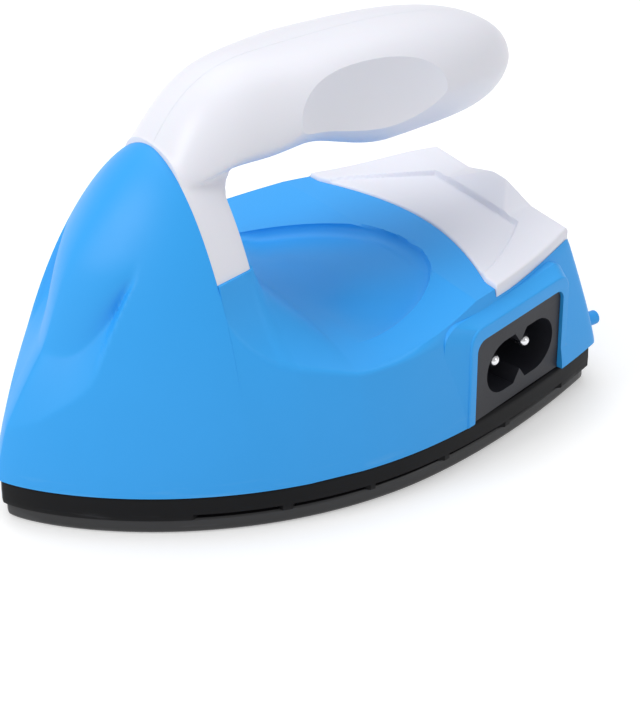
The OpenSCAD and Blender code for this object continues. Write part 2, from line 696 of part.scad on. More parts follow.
module handle_pins() {
    color([0.7, 0.7, 0.72])
        for (p = dowel_at) translate([p[0], -dowel_reach, p[1]])
            rotate([-90, 0, 0]) cylinder(r = dowel_r, h = 2 * dowel_reach);
}

// ---- heater stack ----

module heater_sheet(level, t, grow) {
    translate([heater_x - heater_length / 2 - grow, -heater_width / 2 - grow, plate_t + level])
        cube([heater_length + 2 * grow, heater_width + 2 * grow, t]);
}
module electrode(level, end) {
    heater_sheet(level, foil_t, 0);
    translate([heater_x + end * (heater_length / 2 + 3) - 3, -2, plate_t + level]) cube([6, 4, foil_t]);
}
module lower_insulator() { color([0.85, 0.72, 0.45]) heater_sheet(0, foil_t, 0.8); }
module lower_electrode() { color([0.75, 0.76, 0.78]) electrode(foil_t, 1); }
module heater_tiles() {
    color([0.25, 0.25, 0.27])
        for (i = [0 : 2])
            translate([heater_x - heater_length / 2 + i * heater_length / 3 + 0.25,
                -heater_width / 2, plate_t + 2 * foil_t])
                cube([heater_length / 3 - 0.5, heater_width, heater_t]);
}
module upper_electrode() { color([0.75, 0.76, 0.78]) electrode(2 * foil_t + heater_t, -1); }
module upper_insulator() { color([0.85, 0.72, 0.45]) heater_sheet(3 * foil_t + heater_t, foil_t, 0.8); }
module heater_clamp() {
    color([0.7, 0.71, 0.73]) difference() {
        for (x = clamp_xs) translate([x - 3, -clamp_reach - 3, clamp_z]) cube([6, 2 * clamp_reach + 6, 0.8]);
        for (x = clamp_xs, s = [-1, 1]) translate([x, s * clamp_reach, clamp_z - 1])
            cylinder(r = screw_r + 0.15, h = 4);
    }
}
module clamp_screws() {
    color([0.78, 0.79, 0.8])
        for (x = clamp_xs, s = [-1, 1]) translate([x, s * clamp_reach, clamp_z + 0.8])
            screw(screw_r, clamp_z - 1, 2.4, 1.5);
}

// ---- thermostat and fuse ----

module thermostat() {
    color([0.72, 0.72, 0.74]) {
        translate([stat_x - stat_l / 2, -stat_w / 2, plate_t]) cube([stat_l, stat_w, stat_t]);
        translate([stat_x - stat_l / 2 - 2.4, -0.6, plate_t + 2]) cube([2.5, 1.2, 0.6]);
        translate([stat_x + stat_l / 2 - 0.1, -0.6, plate_t + 2]) cube([2.5, 1.2, 0.6]);
    }
}
module thermostat_strap() {
    color([0.7, 0.71, 0.73]) difference() {
        translate([stat_x - 2.6, -strap_reach - 2.6, plate_t + stat_t]) cube([5.2, 2 * strap_reach + 5.2, 0.6]);
        for (s = [-1, 1]) translate([stat_x, s * strap_reach, plate_t + stat_t - 1])
            cylinder(r = screw_r + 0.15, h = 4);
    }
}
module strap_screws() {
    color([0.78, 0.79, 0.8])
        for (s = [-1, 1]) translate([stat_x, s * strap_reach, plate_t + stat_t + 0.6])
            screw(screw_r, stat_t + 1.6, 2.3, 1.5);
}

fuse_at = [-3, 17.4, plate_t + 2.6];
fuse_l = 9;
module thermal_fuse() {
    color([0.86, 0.8, 0.62]) translate([fuse_at[0] - fuse_l / 2, fuse_at[1], fuse_at[2]]) rotate([0, 90, 0]) {
        cylinder(r = 1.9, h = fuse_l);
        translate([0, 0, -3]) cylinder(r = 0.5, h = fuse_l + 6);
    }
}
module fuse_sleeve() {
    color([0.9, 0.87, 0.78]) translate([fuse_at[0] - fuse_l / 2 - 1, fuse_at[1], fuse_at[2]])
        rotate([0, 90, 0]) difference() {
        cylinder(r = 2.6, h = fuse_l + 2);
        translate([0, 0, -1]) cylinder(r = 1.95, h = fuse_l + 4);
    }
}

// ---- internal leads ----

// Point at t along a smooth curve through the points p
function along(p, t) =
    let (n = len(p), i = min(n - 2, floor(t)), f = t - i)
    let (a = p[max(0, i - 1)], b = p[i], c = p[i + 1], d = p[min(n - 1, i + 2)])
    0.5 * (2 * b + (c - a) * f + (2 * a - 5 * b + 4 * c - d) * f * f + (3 * b - a - 3 * c + d) * f * f * f);
function unit(v) = v / max(0.0001, norm(v));
module lead(p) {
    n = (len(p) - 1) * 4;
    q = [for (i = [0 : n]) along(p, i * (len(p) - 1) / n)];
    rings = [for (i = [0 : n])
        let (dir = unit(q[min(n, i + 1)] - q[max(0, i - 1)]))
        let (side = unit(cross(abs(dir[2]) > 0.9 ? [0, 1, 0] : [0, 0, 1], dir)), up = cross(dir, side))
        [for (a = [0 : 45 : 315]) q[i] + lead_r * (cos(a) * side + sin(a) * up)]];
    loft(rings);
}
function inlet_end(side) =
    let (lx = side * pin_spacing / 2, ly = inlet_depth + tab_t + tab_l + 0.05)
    [inlet_at[0] + lx * cos(inlet_turn) - ly * sin(inlet_turn),
        inlet_at[1] + lx * sin(inlet_turn) + ly * cos(inlet_turn), cavity_z - tab_w / 2 + tab_t / 2];
inlet_back = [-sin(inlet_turn), cos(inlet_turn), 0];
live_start = inlet_end(-1);
neutral_start = inlet_end(1);
fuse_rear = [fuse_at[0] + fuse_l / 2 + 3.1, fuse_at[1], fuse_at[2]];
fuse_front = [fuse_at[0] - fuse_l / 2 - 3.1, fuse_at[1], fuse_at[2]];
upper_tab = [heater_x - heater_length / 2 - 3.5, 0, plate_t + 3 * foil_t + heater_t + 0.05];
lower_tab_end = [heater_x + heater_length / 2 + 6.05, 0, plate_t + foil_t * 1.5];
stat_pin_z = plate_t + 2.3;
stat_pin_rear = [stat_x + stat_l / 2 + 1.2, 0, stat_pin_z + 0.35];
module live_lead() {
    color([0.75, 0.2, 0.15]) lead([live_start, live_start + 3 * inlet_back, [20.5, -1, 12], [19, 8, 8],
        [13, 15, 6.2],
        fuse_rear + [3, 0, 0], fuse_rear]);
}
module fuse_lead() {
    color([0.75, 0.2, 0.15]) lead([fuse_front, fuse_front + [-3, 0, 0], [-19, 15.4, 7.4], [-22.5, 9.5, 9.2],
        [-25.5, 3, 9.8], upper_tab + [0, 0, 2], upper_tab]);
}
module neutral_lead() {
    color([0.2, 0.35, 0.7]) lead([neutral_start, neutral_start + 3 * inlet_back, [35.4, 0, 11.5],
        stat_pin_rear + [0, 0, 2.5], stat_pin_rear]);
}
module link_lead() {
    color([0.2, 0.35, 0.7]) lead([[stat_x - stat_l / 2 - 2.45, 0, stat_pin_z], lower_tab_end]);
}

// ---- heat shield ----

shield_z = 12;             // height of the sheet's underside
shield_t = 0.6;
shield_front = -37;
shield_rear = 16.4;
front_boss = [for (p = plate_boss_at) if (p[0] < 0) p];

// Foot under a screw at x, y and the leg that carries the sheet, beside it
module shield_foot(x, y, side) {
    translate([x - 3.4, y - 3, skirt_top]) cube([6.8, 6, shield_t]);
    translate([x + side * 3.7 - 0.3, y - 3, skirt_top]) cube([0.6, 6, shield_z + shield_t - skirt_top]);
}
module heat_shield() {
    color([0.8, 0.81, 0.83]) difference() {
        union() {
            intersection() {
                plan_prism(-8, shield_z, shield_z + shield_t);
                translate([shield_front, -far, shield_z]) cube([shield_rear - shield_front, 2 * far, shield_t]);
            }
            for (p = front_boss) shield_foot(p[0], p[1], 1);
            for (p = shield_ear_at) shield_foot(p[0], p[1], -1);
        }
        for (p = concat(front_boss, shield_ear_at)) {
            translate([p[0], p[1], skirt_top - 1]) cylinder(r = screw_r + 0.15, h = 3);
            translate([p[0], p[1], shield_z - 1]) cylinder(r = 3, h = 3);
        }
    }
}
module shield_screws() {
    color([0.78, 0.79, 0.8])
        for (p = shield_ear_at) translate([p[0], p[1], skirt_top + shield_t]) screw(screw_r, 3.8, 2.4, 1.5);
}

// ---- screws that hold the casing ----

module plate_screws() {
    color([0.6, 0.6, 0.62])
        for (p = plate_boss_at) translate([p[0], p[1], skirt_top + (p[0] < 0 ? shield_t : 0)])
            screw(screw_r, skirt_top - 1.4, 2.4, 1.6);
}
module shell_screws() {
    color([0.6, 0.6, 0.62]) for (p = shell_post_at) translate([p[0], p[1], post_z + 2])
        screw(screw_r, post_z + 1 - boss_top, 2.4, 1.6);
}
module handle_screws() {
    color([0.6, 0.6, 0.62])
        for (s = [-1, 1]) translate([handle_screw_x, s * handle_screw_y, leg_seat_z - shell_wall])
            mirror([0, 0, 1]) screw(screw_r, shell_wall + 6, 2.4, 1.6);
}

sole_plate();
base_skirt();
body_shell();
handle_near_half();
handle_far_half();
rear_cover();
inlet_housing();
inlet_pin_front();
inlet_pin_rear();
inlet_tabs();
lower_insulator();
lower_electrode();
heater_tiles();
upper_electrode();
upper_insulator();
heater_clamp();
clamp_screws();
thermostat();
thermostat_strap();
strap_screws();
thermal_fuse();
fuse_sleeve();
live_lead();
fuse_lead();
neutral_lead();
link_lead();
heat_shield();
shield_screws();
plate_screws();
shell_screws();
handle_screws();
handle_pins();
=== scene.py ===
import json
import math
import bmesh
import bpy
import numpy as np
from mathutils import Matrix


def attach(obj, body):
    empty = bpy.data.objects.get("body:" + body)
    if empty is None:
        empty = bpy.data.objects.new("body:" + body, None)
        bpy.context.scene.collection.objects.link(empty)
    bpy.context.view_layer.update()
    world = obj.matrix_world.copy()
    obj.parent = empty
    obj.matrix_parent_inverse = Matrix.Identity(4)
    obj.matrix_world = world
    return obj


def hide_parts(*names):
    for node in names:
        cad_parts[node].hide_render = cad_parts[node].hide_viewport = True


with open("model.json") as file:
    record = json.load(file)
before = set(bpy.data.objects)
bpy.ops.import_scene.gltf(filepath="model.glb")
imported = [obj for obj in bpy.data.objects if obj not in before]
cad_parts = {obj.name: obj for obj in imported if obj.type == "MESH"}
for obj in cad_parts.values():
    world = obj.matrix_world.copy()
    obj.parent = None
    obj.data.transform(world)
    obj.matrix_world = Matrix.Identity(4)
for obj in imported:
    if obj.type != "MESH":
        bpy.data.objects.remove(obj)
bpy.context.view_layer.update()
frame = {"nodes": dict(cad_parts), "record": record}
nodes = frame["nodes"]
mm = 0.001  # lengths and places below are in millimetres
print("stage: frame loaded")


def ease(a, b, x):
    # smooth step from 0 at a to 1 at b
    t = np.clip((x - a) / (b - a), 0, 1)
    return t * t * (3 - 2 * t)


def mix(a, b, t):
    # straight blend: a at 0, b at 1
    return a + (b - a) * t


def gridQuads(rows, cols, start=0, closed=False):
    # corner numbers of a rows x cols grid of points, closed round the columns if asked
    i, j = np.meshgrid(np.arange(rows - 1), np.arange(cols if closed else cols - 1), indexing="ij")
    k = (j + 1) % cols
    a, b = start + i * cols + j, start + i * cols + k
    return np.stack([a, b, b + cols, a + cols], -1).reshape(-1, 4)


weld = 0.004  # points nearer than about this become one


def makePiece(name, parts, sharp=35, outward=True):
    # joins grids of points, each (rows x cols x 3) and maybe closed, into one welded mesh
    points, quads, start = [], [], 0
    for grid, closed in parts:
        rows, cols = grid.shape[:2]
        points.append(grid.reshape(-1, 3))
        quads.append(gridQuads(rows, cols, start, closed))
        start += rows * cols
    points, quads = np.concatenate(points), np.concatenate(quads)
    keys, back = np.unique(np.round(points / weld).astype(np.int64), axis=0, return_inverse=True)
    back = back.ravel()
    place = np.zeros((len(keys), 3))
    place[back] = points
    quads = back[quads]
    same = quads == np.roll(quads, -1, axis=1)
    full = quads[~same.any(1)]
    full = full[(full[:, 0] != full[:, 2]) & (full[:, 1] != full[:, 3])]
    three = quads[same.sum(1) == 1]
    pick = np.argsort(same[same.sum(1) == 1], axis=1, kind="stable")[:, :3]
    three = np.take_along_axis(three, np.sort(pick, 1), 1)
    three = three[(three != np.roll(three, 1, axis=1)).all(1)]
    mesh = bpy.data.meshes.new(name)
    mesh.from_pydata((place * mm).tolist(), [], full.tolist() + three.tolist())
    if outward:
        work = bmesh.new()
        work.from_mesh(mesh)
        bmesh.ops.recalc_face_normals(work, faces=work.faces)
        work.to_mesh(mesh)
        work.free()
    piece = bpy.data.objects.new(name, mesh)
    bpy.context.scene.collection.objects.link(piece)
    smooth(piece, sharp)
    return piece


def smooth(piece, sharp):
    # smooth shading, but for edges that turn by more than the given angle in degrees
    mesh = piece.data
    mesh.polygons.foreach_set("use_smooth", np.ones(len(mesh.polygons), bool))
    mesh.set_sharp_from_angle(angle=math.radians(sharp))


def carve(piece, tool, operation, sharp=35):
    # joins or cuts one closed mesh with another, then throws the tool away
    cut = piece.modifiers.new("cut", "BOOLEAN")
    cut.object, cut.operation, cut.solver = tool, operation, "EXACT"
    settle(piece, sharp)
    bpy.data.objects.remove(tool)


def settle(piece, sharp=35):
    # keeps what the modifiers have made as the piece's own mesh
    made = bpy.data.meshes.new_from_object(piece.evaluated_get(bpy.context.evaluated_depsgraph_get()))
    piece.modifiers.clear()
    old = piece.data
    piece.data = made
    made.name = piece.name
    bpy.data.meshes.remove(old)
    smooth(piece, sharp)


def capGrid(loop):
    # fills a closed loop whose two halves face each other, as a two-row grid between them
    half = len(loop) // 2
    return np.stack([loop[:half], loop[::-1][:half]], 0)


def closedRings(rings):
    # rings carried along a path, with both ends filled
    return [(rings, True), (capGrid(rings[0]), False), (capGrid(rings[-1]), False)]


# outline of the sole, seen from above
outline = {
    "length": 107.0,
    "width": 63.8,
    "tailWidth": 43.2,
    "widestX": 6.5,
    "nosePower": 0.775,
    "tailPower": 1.76,
    "tipGrowth": 1.15,
}
noseX, tailX = -outline["length"] / 2, outline["length"] / 2


def planHalf(x, g=0.0):
    # half width: a blunt power curve from the nose to the widest place, then a slow power fall to the tail
    o = outline
    tip, back, half = noseX - o["tipGrowth"] * g, tailX + g, o["width"] / 2 + g
    u = np.clip((x - tip) / (o["widestX"] - tip), 0, 1)
    v = np.clip((x - o["widestX"]) / (back - o["widestX"]), 0, 1)
    front = half * (1 - (1 - u) ** 2) ** o["nosePower"]
    rear = half - (o["width"] - o["tailWidth"]) / 2 * v ** o["tailPower"]
    return np.where(x < o["widestX"], front, rear)


# blue shell: wall, arch, deck and saddle
shell = {
    "base": 8.0,
    "out": 1.3,
    "peak": 60.4,
    "archX": -23.0,
    "noseLean": 1.38,
    "archPower": 1.83,
    "tailLean": 4.6 / 22,
    "deck": 26.2,
    "crown": 1.8,
    "saddle": 21.0,
    "legSeat": 43.5,
    "legDepth": 7.5,
    "legTurn": 1.5,
    "legFoot": 0.8,
    "archRound": 0.45,
    "wallDraft": (0.05, 0.17),
    "wallPower": 1.35,
    "draftHeight": 19.0,
    "deckHalf": 30.0,
    "deckRise": 2.6,
    "deckTilt": 0.55,
    "deckRiseFrom": 2.0,
    "deckRiseRun": 20.0,
    "crescent": 1.7,
    "crescentHalf": (25.2, 21.3),
    "crescentTilt": (-2.4, -0.14),
    "crescentWall": 2.2,
    "crescentFade": (0.35, 0.9),
    "ridgeRound": 0.9,
    "tailRound": 1.6,
}
archX = shell["archX"]
beforeArch = archX - 1e-6  # so close in front of the arch that the nose's own formula holds
shellTip = noseX - outline["tipGrowth"] * shell["out"]


def rise(z):
    # 0 at the shell's base, 1 at its peak
    return np.clip((z - shell["base"]) / (shell["peak"] - shell["base"]), 0, 1)


def levelNose(z):
    # where the nose stands at a height: a power curve from the tip back to the arch
    return archX - (archX - shellTip) * (1 - rise(z) ** shell["noseLean"]) ** (1 / shell["noseLean"])


def levelTail(z):
    # the tail leans forward in a straight line
    return tailX + shell["out"] - shell["tailLean"] * np.maximum(0, z - shell["base"])


def archShare(z):
    # share of the base's half width that the arch keeps at a height
    return (1 - rise(z) ** shell["archPower"]) ** (1 / shell["archPower"])


def shellHalf(x, z):
    # outline's half width, narrowed by the arch towards the nose and by a draft towards the tail
    nose = levelNose(z)
    span = np.maximum(0.001, archX - nose)
    at = np.where(x < archX, archX - (archX - shellTip) * (archX - x) / span, x)
    base, rear = planHalf(at, shell["out"]), planHalf(np.array(archX), shell["out"])
    u = np.clip(1 - (archX - x) / span, 0, 1)
    share = np.where(x < archX, shell["archRound"] * ease(0.15, 0.95, rise(z)), 0)
    v = np.clip((x - outline["widestX"]) / (tailX - outline["widestX"]), 0, 1)
    h = np.maximum(0, z - shell["base"]) / shell["draftHeight"]
    wall = 1 - (shell["wallDraft"][0] + shell["wallDraft"][1] * v * v) * h ** shell["wallPower"]
    return mix(base, rear * np.sqrt(1 - (1 - u) ** 2), share) * mix(archShare(z), wall, ease(archX, -2, x))


legHalf = float(planHalf(np.array(archX), shell["out"]) * archShare(np.array(shell["legSeat"])))
legRear = archX + shell["legDepth"]
footR = shell["legFoot"]
crescentSpan = 23.0  # mean radius of the crescent's ellipse


def crescentMiddle(x):
    # the crescent's ellipse leans over to the inlet side towards the tail
    return shell["crescentTilt"][0] + shell["crescentTilt"][1] * x


def deckHeight(x, y):
    # crowned deck that rises towards the cover, more on the inlet side, less a crescent recess
    back = np.clip((x - shell["deckRiseFrom"]) / shell["deckRiseRun"], 0, 1)
    rho = np.hypot(x / shell["crescentHalf"][0], (y - crescentMiddle(x)) / shell["crescentHalf"][1])
    fade = ease(0.0, 0.5, x / np.maximum(1, np.hypot(x, y)))
    foot = 1 - np.clip((1 - rho) * crescentSpan / shell["crescentWall"], 0, 1)
    return (
        shell["deck"]
        + shell["crown"] * (1 - np.clip(np.abs(y) / shell["deckHalf"], 0, 1) ** 2) * (1 - 0.5 * back)
        + shell["deckRise"] * back ** 1.5 * (1 - shell["deckTilt"] * y / shell["deckHalf"])
        - shell["crescent"] * fade * np.sqrt(1 - foot * foot) * ease(*shell["crescentFade"], rho)
    )


def saddle(x, y):
    # the deck plus a quarter-circle sweep up to the legs' footprint, level on the seat
    lean = np.clip((x - archX) / (shell["legDepth"] - footR), 0, 1)
    side = mix(legHalf, legHalf - shell["legTurn"], lean)
    cornerX, cornerY = legRear - footR, legHalf - shell["legTurn"] - footR
    dx, dy = np.maximum(0, x - cornerX), np.maximum(0, np.abs(y) - cornerY)
    d = np.where(x < cornerX, np.abs(y) - side, np.hypot(dx, dy) - footR)
    s = shell["saddle"] - np.clip(d, 0, shell["saddle"])
    lift = shell["saddle"] - np.sqrt(shell["saddle"] ** 2 - s * s)
    return np.minimum(shell["legSeat"], deckHeight(x, y) + lift)


# scoop in the nose: heights over half widths of the two lines that bound its ledge
scoop = {
    "depth": 2.2,
    "creaseLow": 30.6,
    "creaseRise": 9.0,
    "creaseHalf": 10.4,
    "creasePower": 5,
    "ledgeHalf": (0, 2.7, 4.6, 6.4, 8.9, 11.1, 12, 12.4),
    "ledgeZ": (17.5, 18.5, 19.6, 21.5, 24.2, 27.7, 31.7, 42),
    "top": 46.5,
    "endZ": (38, 44),
    "endHalf": (10.6, 12.3),
}


def noseScoop(y, z):
    # share of the depth: full along a U-shaped crease z = low + rise (|y| / half) ^ power, none at the top,
    # and falling off in a straight ledge to the lower, V-shaped line
    a = np.abs(y)
    crease = scoop["creaseLow"] + scoop["creaseRise"] * (a / scoop["creaseHalf"]) ** scoop["creasePower"]
    under = np.interp(a, scoop["ledgeHalf"], scoop["ledgeZ"])
    below = np.clip((z - under) / np.maximum(0.5, crease - under), 0, 1)
    above = 1 - ease(0, np.maximum(3, scoop["top"] - crease), z - crease)
    ends = (1 - ease(*scoop["endZ"], crease)) * (1 - ease(*scoop["endHalf"], a))
    return np.where(z > crease, above, below) * ends


def nosePoint(u, z):
    # point of the nose's plain surface: u runs from -1 at the near end of the arch over 0 at the ridge to 1
    x = mix(levelNose(z), archX, np.minimum(1, np.abs(u)) ** 1.7)
    return np.stack([x, np.sign(u) * shellHalf(np.minimum(x, beforeArch), z), z], -1)


def carvedNose(levels):
    # the nose at the given heights, pushed in along its normal where the scoop lies
    u = np.linspace(-1, 1, 171)[None]
    z = levels[:, None] + 0 * u
    u = u + 0 * z
    nose = nosePoint(u, z)
    du = nosePoint(u + 0.012, z) - nosePoint(u - 0.012, z)
    dv = nosePoint(u, np.minimum(z + 0.05, shell["peak"])) - nosePoint(u, z - 0.05)
    inward = np.cross(du, dv)
    inward /= np.maximum(1e-9, np.linalg.norm(inward, axis=-1, keepdims=True))
    inward *= -np.sign(inward[..., :1] * (nose[..., :1] - archX) + inward[..., 1:2] * nose[..., 1:2] + 1e-9)
    return nose + inward * scoop["depth"] * noseScoop(nose[..., 1], z)[..., None]


wallRows, bendRows, deckRows = 66, 7, 60  # points of half a section


def shellStations(tailS):
    # places of the sections along x: close together at the arch, the legs, the crescent's end and the tail
    rr = shell["tailRound"]
    s = np.concatenate([
        archX + 0.05 * (1.25 ** np.arange(17) - 1),
        np.linspace(-20.6, legRear - 0.25, 14),
        legRear + 0.14 * (1.3 ** np.arange(12) - 1),
        np.linspace(-4.6, 34, 56)[1:],
        shell["crescentHalf"][0] * np.sin(np.linspace(0.9, np.pi / 2, 30)),
        np.linspace(34, tailS - rr, 20)[1:],
        tailS - rr + rr * np.sin(np.linspace(0, np.pi / 2, 7))[1:],
    ])
    return np.unique(np.round(s, 4))


def deckColumns(s, start):
    # half widths of the deck's points on the near and far side, from the ridge to the centre line
    legShare = 0.62
    foot = np.interp(s, [archX, legRear - 1.5, legRear + 4], [legHalf, legHalf - 2.0, legHalf * 0.62])
    q = np.linspace(0, 1, deckRows)[None]
    outer = np.minimum(q / legShare, 1)
    inner = np.clip((q - legShare) / (1 - legShare), 0, 1)
    plain = mix(start[:, None], foot[:, None], 1 - (1 - outer) ** 1.5) * (1 - inner)
    # beyond the legs the columns follow the crescent's wall, from its edge to its foot
    inside = np.array([-0.02, 0, 0.015, 0.05, 0.12, 0.22, 0.36, 0.54, 0.78, 1.1, 1.5, 1.9, 2.3])
    middle = 23
    ring = 1 - inside / crescentSpan
    halfX, halfY = shell["crescentHalf"]
    along = np.clip(s[:, None] / halfX, 0, 2)
    ringHalf = halfY * np.sqrt(np.maximum(0, ring[None] ** 2 - along ** 2))
    ahead = deckRows - len(inside) - middle + 1
    columns = []
    for side in (-1, 1):
        yRing = np.clip(ringHalf + side * crescentMiddle(s)[:, None], 0, start[:, None] - 0.3)
        yOuter = mix(start[:, None], yRing[:, :1], np.linspace(0, 1, ahead + 1)[None, :-1])
        yInner = yRing[:, -1:] * np.linspace(1, 0, middle)[None, 1:]
        columns.append(mix(plain, np.concatenate([yOuter, yRing, yInner], 1), ease(-7, -1.5, s)[:, None]))
    return columns


def makeShell():
    # sections across the body, each up the wall, round the ridge and over the deck; then the nose, the
    # arch's face and the tail
    r, rr = shell["ridgeRound"], shell["tailRound"]
    tailS = float(levelTail(np.array(shell["base"])))
    s = shellStations(tailS)
    pull = rr - np.sqrt(np.maximum(0, rr * rr - np.clip(s - (tailS - rr), 0, rr) ** 2))
    lean = ease(20, 50, s)

    def xAt(k, z):
        return s[k] + lean[k] * (levelTail(z) - tailS)

    # height of the ridge at each station, by halving the bracket
    every = np.arange(len(s))
    low, high = np.full(len(s), shell["base"] + 1), np.full(len(s), shell["legSeat"] - 0.7)
    for _ in range(40):
        mid = (low + high) / 2
        x = xAt(every, mid)
        over = mid > saddle(x, shellHalf(x, mid) - pull) - pull
        high, low = np.where(over, mid, high), np.where(over, low, mid)
    ridge = (low + high) / 2

    k = every[:, None]
    t = np.linspace(0, 1, wallRows)[None]
    zWall = shell["base"] + (ridge - r - shell["base"])[:, None] * t
    xWall = xAt(k, zWall)
    yWall = shellHalf(xWall, zWall) - pull[:, None]
    xRidge = xAt(every, ridge)
    yRidge = shellHalf(xRidge, ridge) - pull
    highest = 34  # the deck's height where its place along x is read off the leaning tail
    sides = []
    for side, yDeck in zip((-1, 1), deckColumns(s, yRidge - r)):
        z = np.full_like(yDeck, 28.0)
        for _ in range(6):
            z = saddle(xAt(k, np.minimum(z, highest)), side * yDeck) - pull[:, None]
        deck = np.stack([xAt(k, np.minimum(z, highest)), side * yDeck, z], -1)
        wall = np.stack([xWall, side * yWall, zWall], -1)
        tip = np.stack([xRidge, side * yRidge, ridge], -1)[:, None]
        b = np.linspace(0, 1, bendRows + 2)[1:-1][None, :, None]
        arc = (1 - b) ** 2 * wall[:, -1:] + 2 * b * (1 - b) * tip + b * b * deck[:, :1]
        sides.append(np.concatenate([wall, arc, deck], 1))
    near, far = sides
    body = np.concatenate([near, far[:, -2::-1]], 1)  # from the near base over the deck to the far base

    # the nose's levels meet the first section on the wall, and the arch above it
    first = near[0]
    zs = np.linspace(shell["base"], shell["peak"], 4000)
    ys = shellHalf(np.full_like(zs, beforeArch), zs)
    arch = np.interp(-first[:, 1], ys[::-1], zs[::-1])
    levels = np.where(np.arange(len(first)) < wallRows, first[:, 2], arch)
    levels = np.maximum.accumulate(levels)
    levels[-1] = shell["peak"]
    nose = carvedNose(levels)

    # the upright face behind the nose, from the first section up to the arch
    count = len(first)
    archHalf = shellHalf(np.full(count, beforeArch), levels)
    archLine = np.stack([np.full(count, archX), -archHalf, levels], -1)
    archLine[-1, 1] = 0
    lowLine = first.copy()
    lowLine[:wallRows] = archLine[:wallRows]
    fill = np.stack([mix(lowLine, archLine, f) for f in np.linspace(0, 1, 5)], 0)
    fillFar = fill * np.array([1, -1, 1])

    # the tail's flat face and the flat bottom
    last = body[-1]
    rows = np.linspace(0, 1, 9)[:, None]
    zTail = shell["base"] + (last[:, 2] - shell["base"])[None] * rows
    tail = np.stack([levelTail(zTail), np.broadcast_to(last[:, 1], zTail.shape), zTail], -1)
    tail[-1] = last
    tail[0, :, 2] = shell["base"]
    bottomSides = np.stack([body[:, 0], body[:, -1]], 1)
    half = (nose.shape[1] + 1) // 2
    bottomNose = np.stack([nose[0, :half], nose[0, ::-1][:half]], 1)
    grids = (body, nose, fill, fillFar, tail, bottomSides, bottomNose)
    return makePiece("blueShell", [(grid, False) for grid in grids], sharp=32)


# surround and window for the inlet on the near side
inlet = {
    "at": (32.2, -28.5),
    "turn": 14.4,
    "width": 24.0,
    "shift": -0.8,
    "top": 24.2,
    "surroundWidth": 27.6,
    "surroundTop": 27.0,
    "proud": 0.6,
    "gap": 0.15,
    "surroundRound": 3.0,
    "windowRound": 2.1,
    "rimRound": 0.4,
    "flare": (4.4, 1.3, 0.9),
    "flareDepth": 2.0,
}


def turned(points):
    # from the inlet's own frame (x along the face, y inwards) to the part's frame
    a = math.radians(inlet["turn"])
    x, y, z = points[..., 0], points[..., 1], points[..., 2]
    cx, cy = inlet["at"]
    return np.stack([cx + x * math.cos(a) - y * math.sin(a), cy + x * math.sin(a) + y * math.cos(a), z], -1)


def archedBlock(name, w, z0, z1, r, y0, y1, edge=0.0, flare=(0, 0, 0), ramp=0.0):
    # upright plate with two round upper corners: its outline carried inwards, with a rounded front rim
    # and, where asked, sides that spread to the left, top and right until they meet the wall
    a = np.linspace(0, np.pi / 2, 12)
    right = np.stack([w / 2 - r + r * np.cos(a), z1 - r + r * np.sin(a)], -1)
    left = right[::-1] * [-1, 1]
    loop = np.concatenate([[[w / 2, z0]], right, left, [[-w / 2, z0]]])
    centre = np.array([0, (z0 + z1) / 2])
    turn = np.linspace(np.pi / 2, 0, 5)
    steps = [(y0, 0)]
    if edge:
        steps = [(y0 + edge - edge * math.sin(f), edge - edge * math.cos(f)) for f in turn]
    rings = [np.column_stack([
        (loop * (1 - g / np.maximum(1, np.abs(loop - centre).max())))[:, 0],
        np.full(len(loop), y),
        (centre + (loop - centre) * (1 - g / (z1 - z0) * 2))[:, 1] if g else loop[:, 1],
    ]) for y, g in steps + [(y0 + edge + ramp, 0), (y1, 0)]]
    rings = np.array(rings)
    rings[-2:, :, 0] *= 1 + np.where(rings[-2:, :, 0] < 0, flare[0], flare[2]) / (w / 2)
    rings[-2:, :, 2] = z0 + (rings[-2:, :, 2] - z0) * (1 + flare[1] / (z1 - z0))
    rings[..., 0] += inlet["shift"]
    return makePiece(name, closedRings(turned(rings)))


# white cover over the back of the body
cover = {
    "frontX": 32.2,
    "bow": 0.0088,
    "reach": 27.6,
    "edgeTurn": 24.3,
    "top": 31.0,
    "thin": 1.8,
    "side": 3.2,
    "farDrop": 2.6,
    "farHalf": 26.0,
    "planeLead": 6.0,
    "seatDrop": 0.3,
    "lip": 0.8,
    "step": 1.0,
    "panelRun": 15.8,
    "hood": 2.3,
    "hoodHalf": 8.9,
    "hoodRun": 6.2,
    "hoodFlank": 7.4,
    "borderIn": 1.5,
    "borderTaper": 10.8,
    "borderPower": 1.25,
    "panelStart": 3.7,
    "edgeRound": 0.6,
    "pocketGap": 0.1,
}
coverTail = float(levelTail(np.array(cover["top"]))) - 0.3


def coverFront(y):
    # the front edge bows back with the square of y, and runs straight on near the sides
    return cover["frontX"] - cover["bow"] * np.minimum(cover["edgeTurn"], np.abs(y)) ** 2


def coverSideHalf(x):
    # the shell's half width just below the cover's top, less a hairline gap
    return shellHalf(x, np.full_like(x, cover["top"] - 1.5)) - 0.1


def coverXY(u, v, grow):
    # u runs from the front edge to the tail, v from the near side to the far side
    x0 = coverFront(v * cover["reach"]) - grow
    x = mix(x0, coverTail + grow, u)
    return x, v * (coverSideHalf(x) + grow)


def coverRun(x):
    # 0 a little before the front edge, 1 at the tail
    lead = cover["planeLead"]
    return np.clip((x - cover["frontX"] + lead) / (coverTail - cover["frontX"] + lead), 0, 1)


def coverBase(x, y):
    # underside: straight from front to tail, and lower towards the far front corner
    c = cover
    t = coverRun(x)
    near = mix(c["top"] - c["seatDrop"] - c["thin"], c["top"] - c["side"], t)
    return near - c["farDrop"] * (1 - t) * np.clip((y + c["farHalf"]) / (2 * c["farHalf"]), 0, 1)


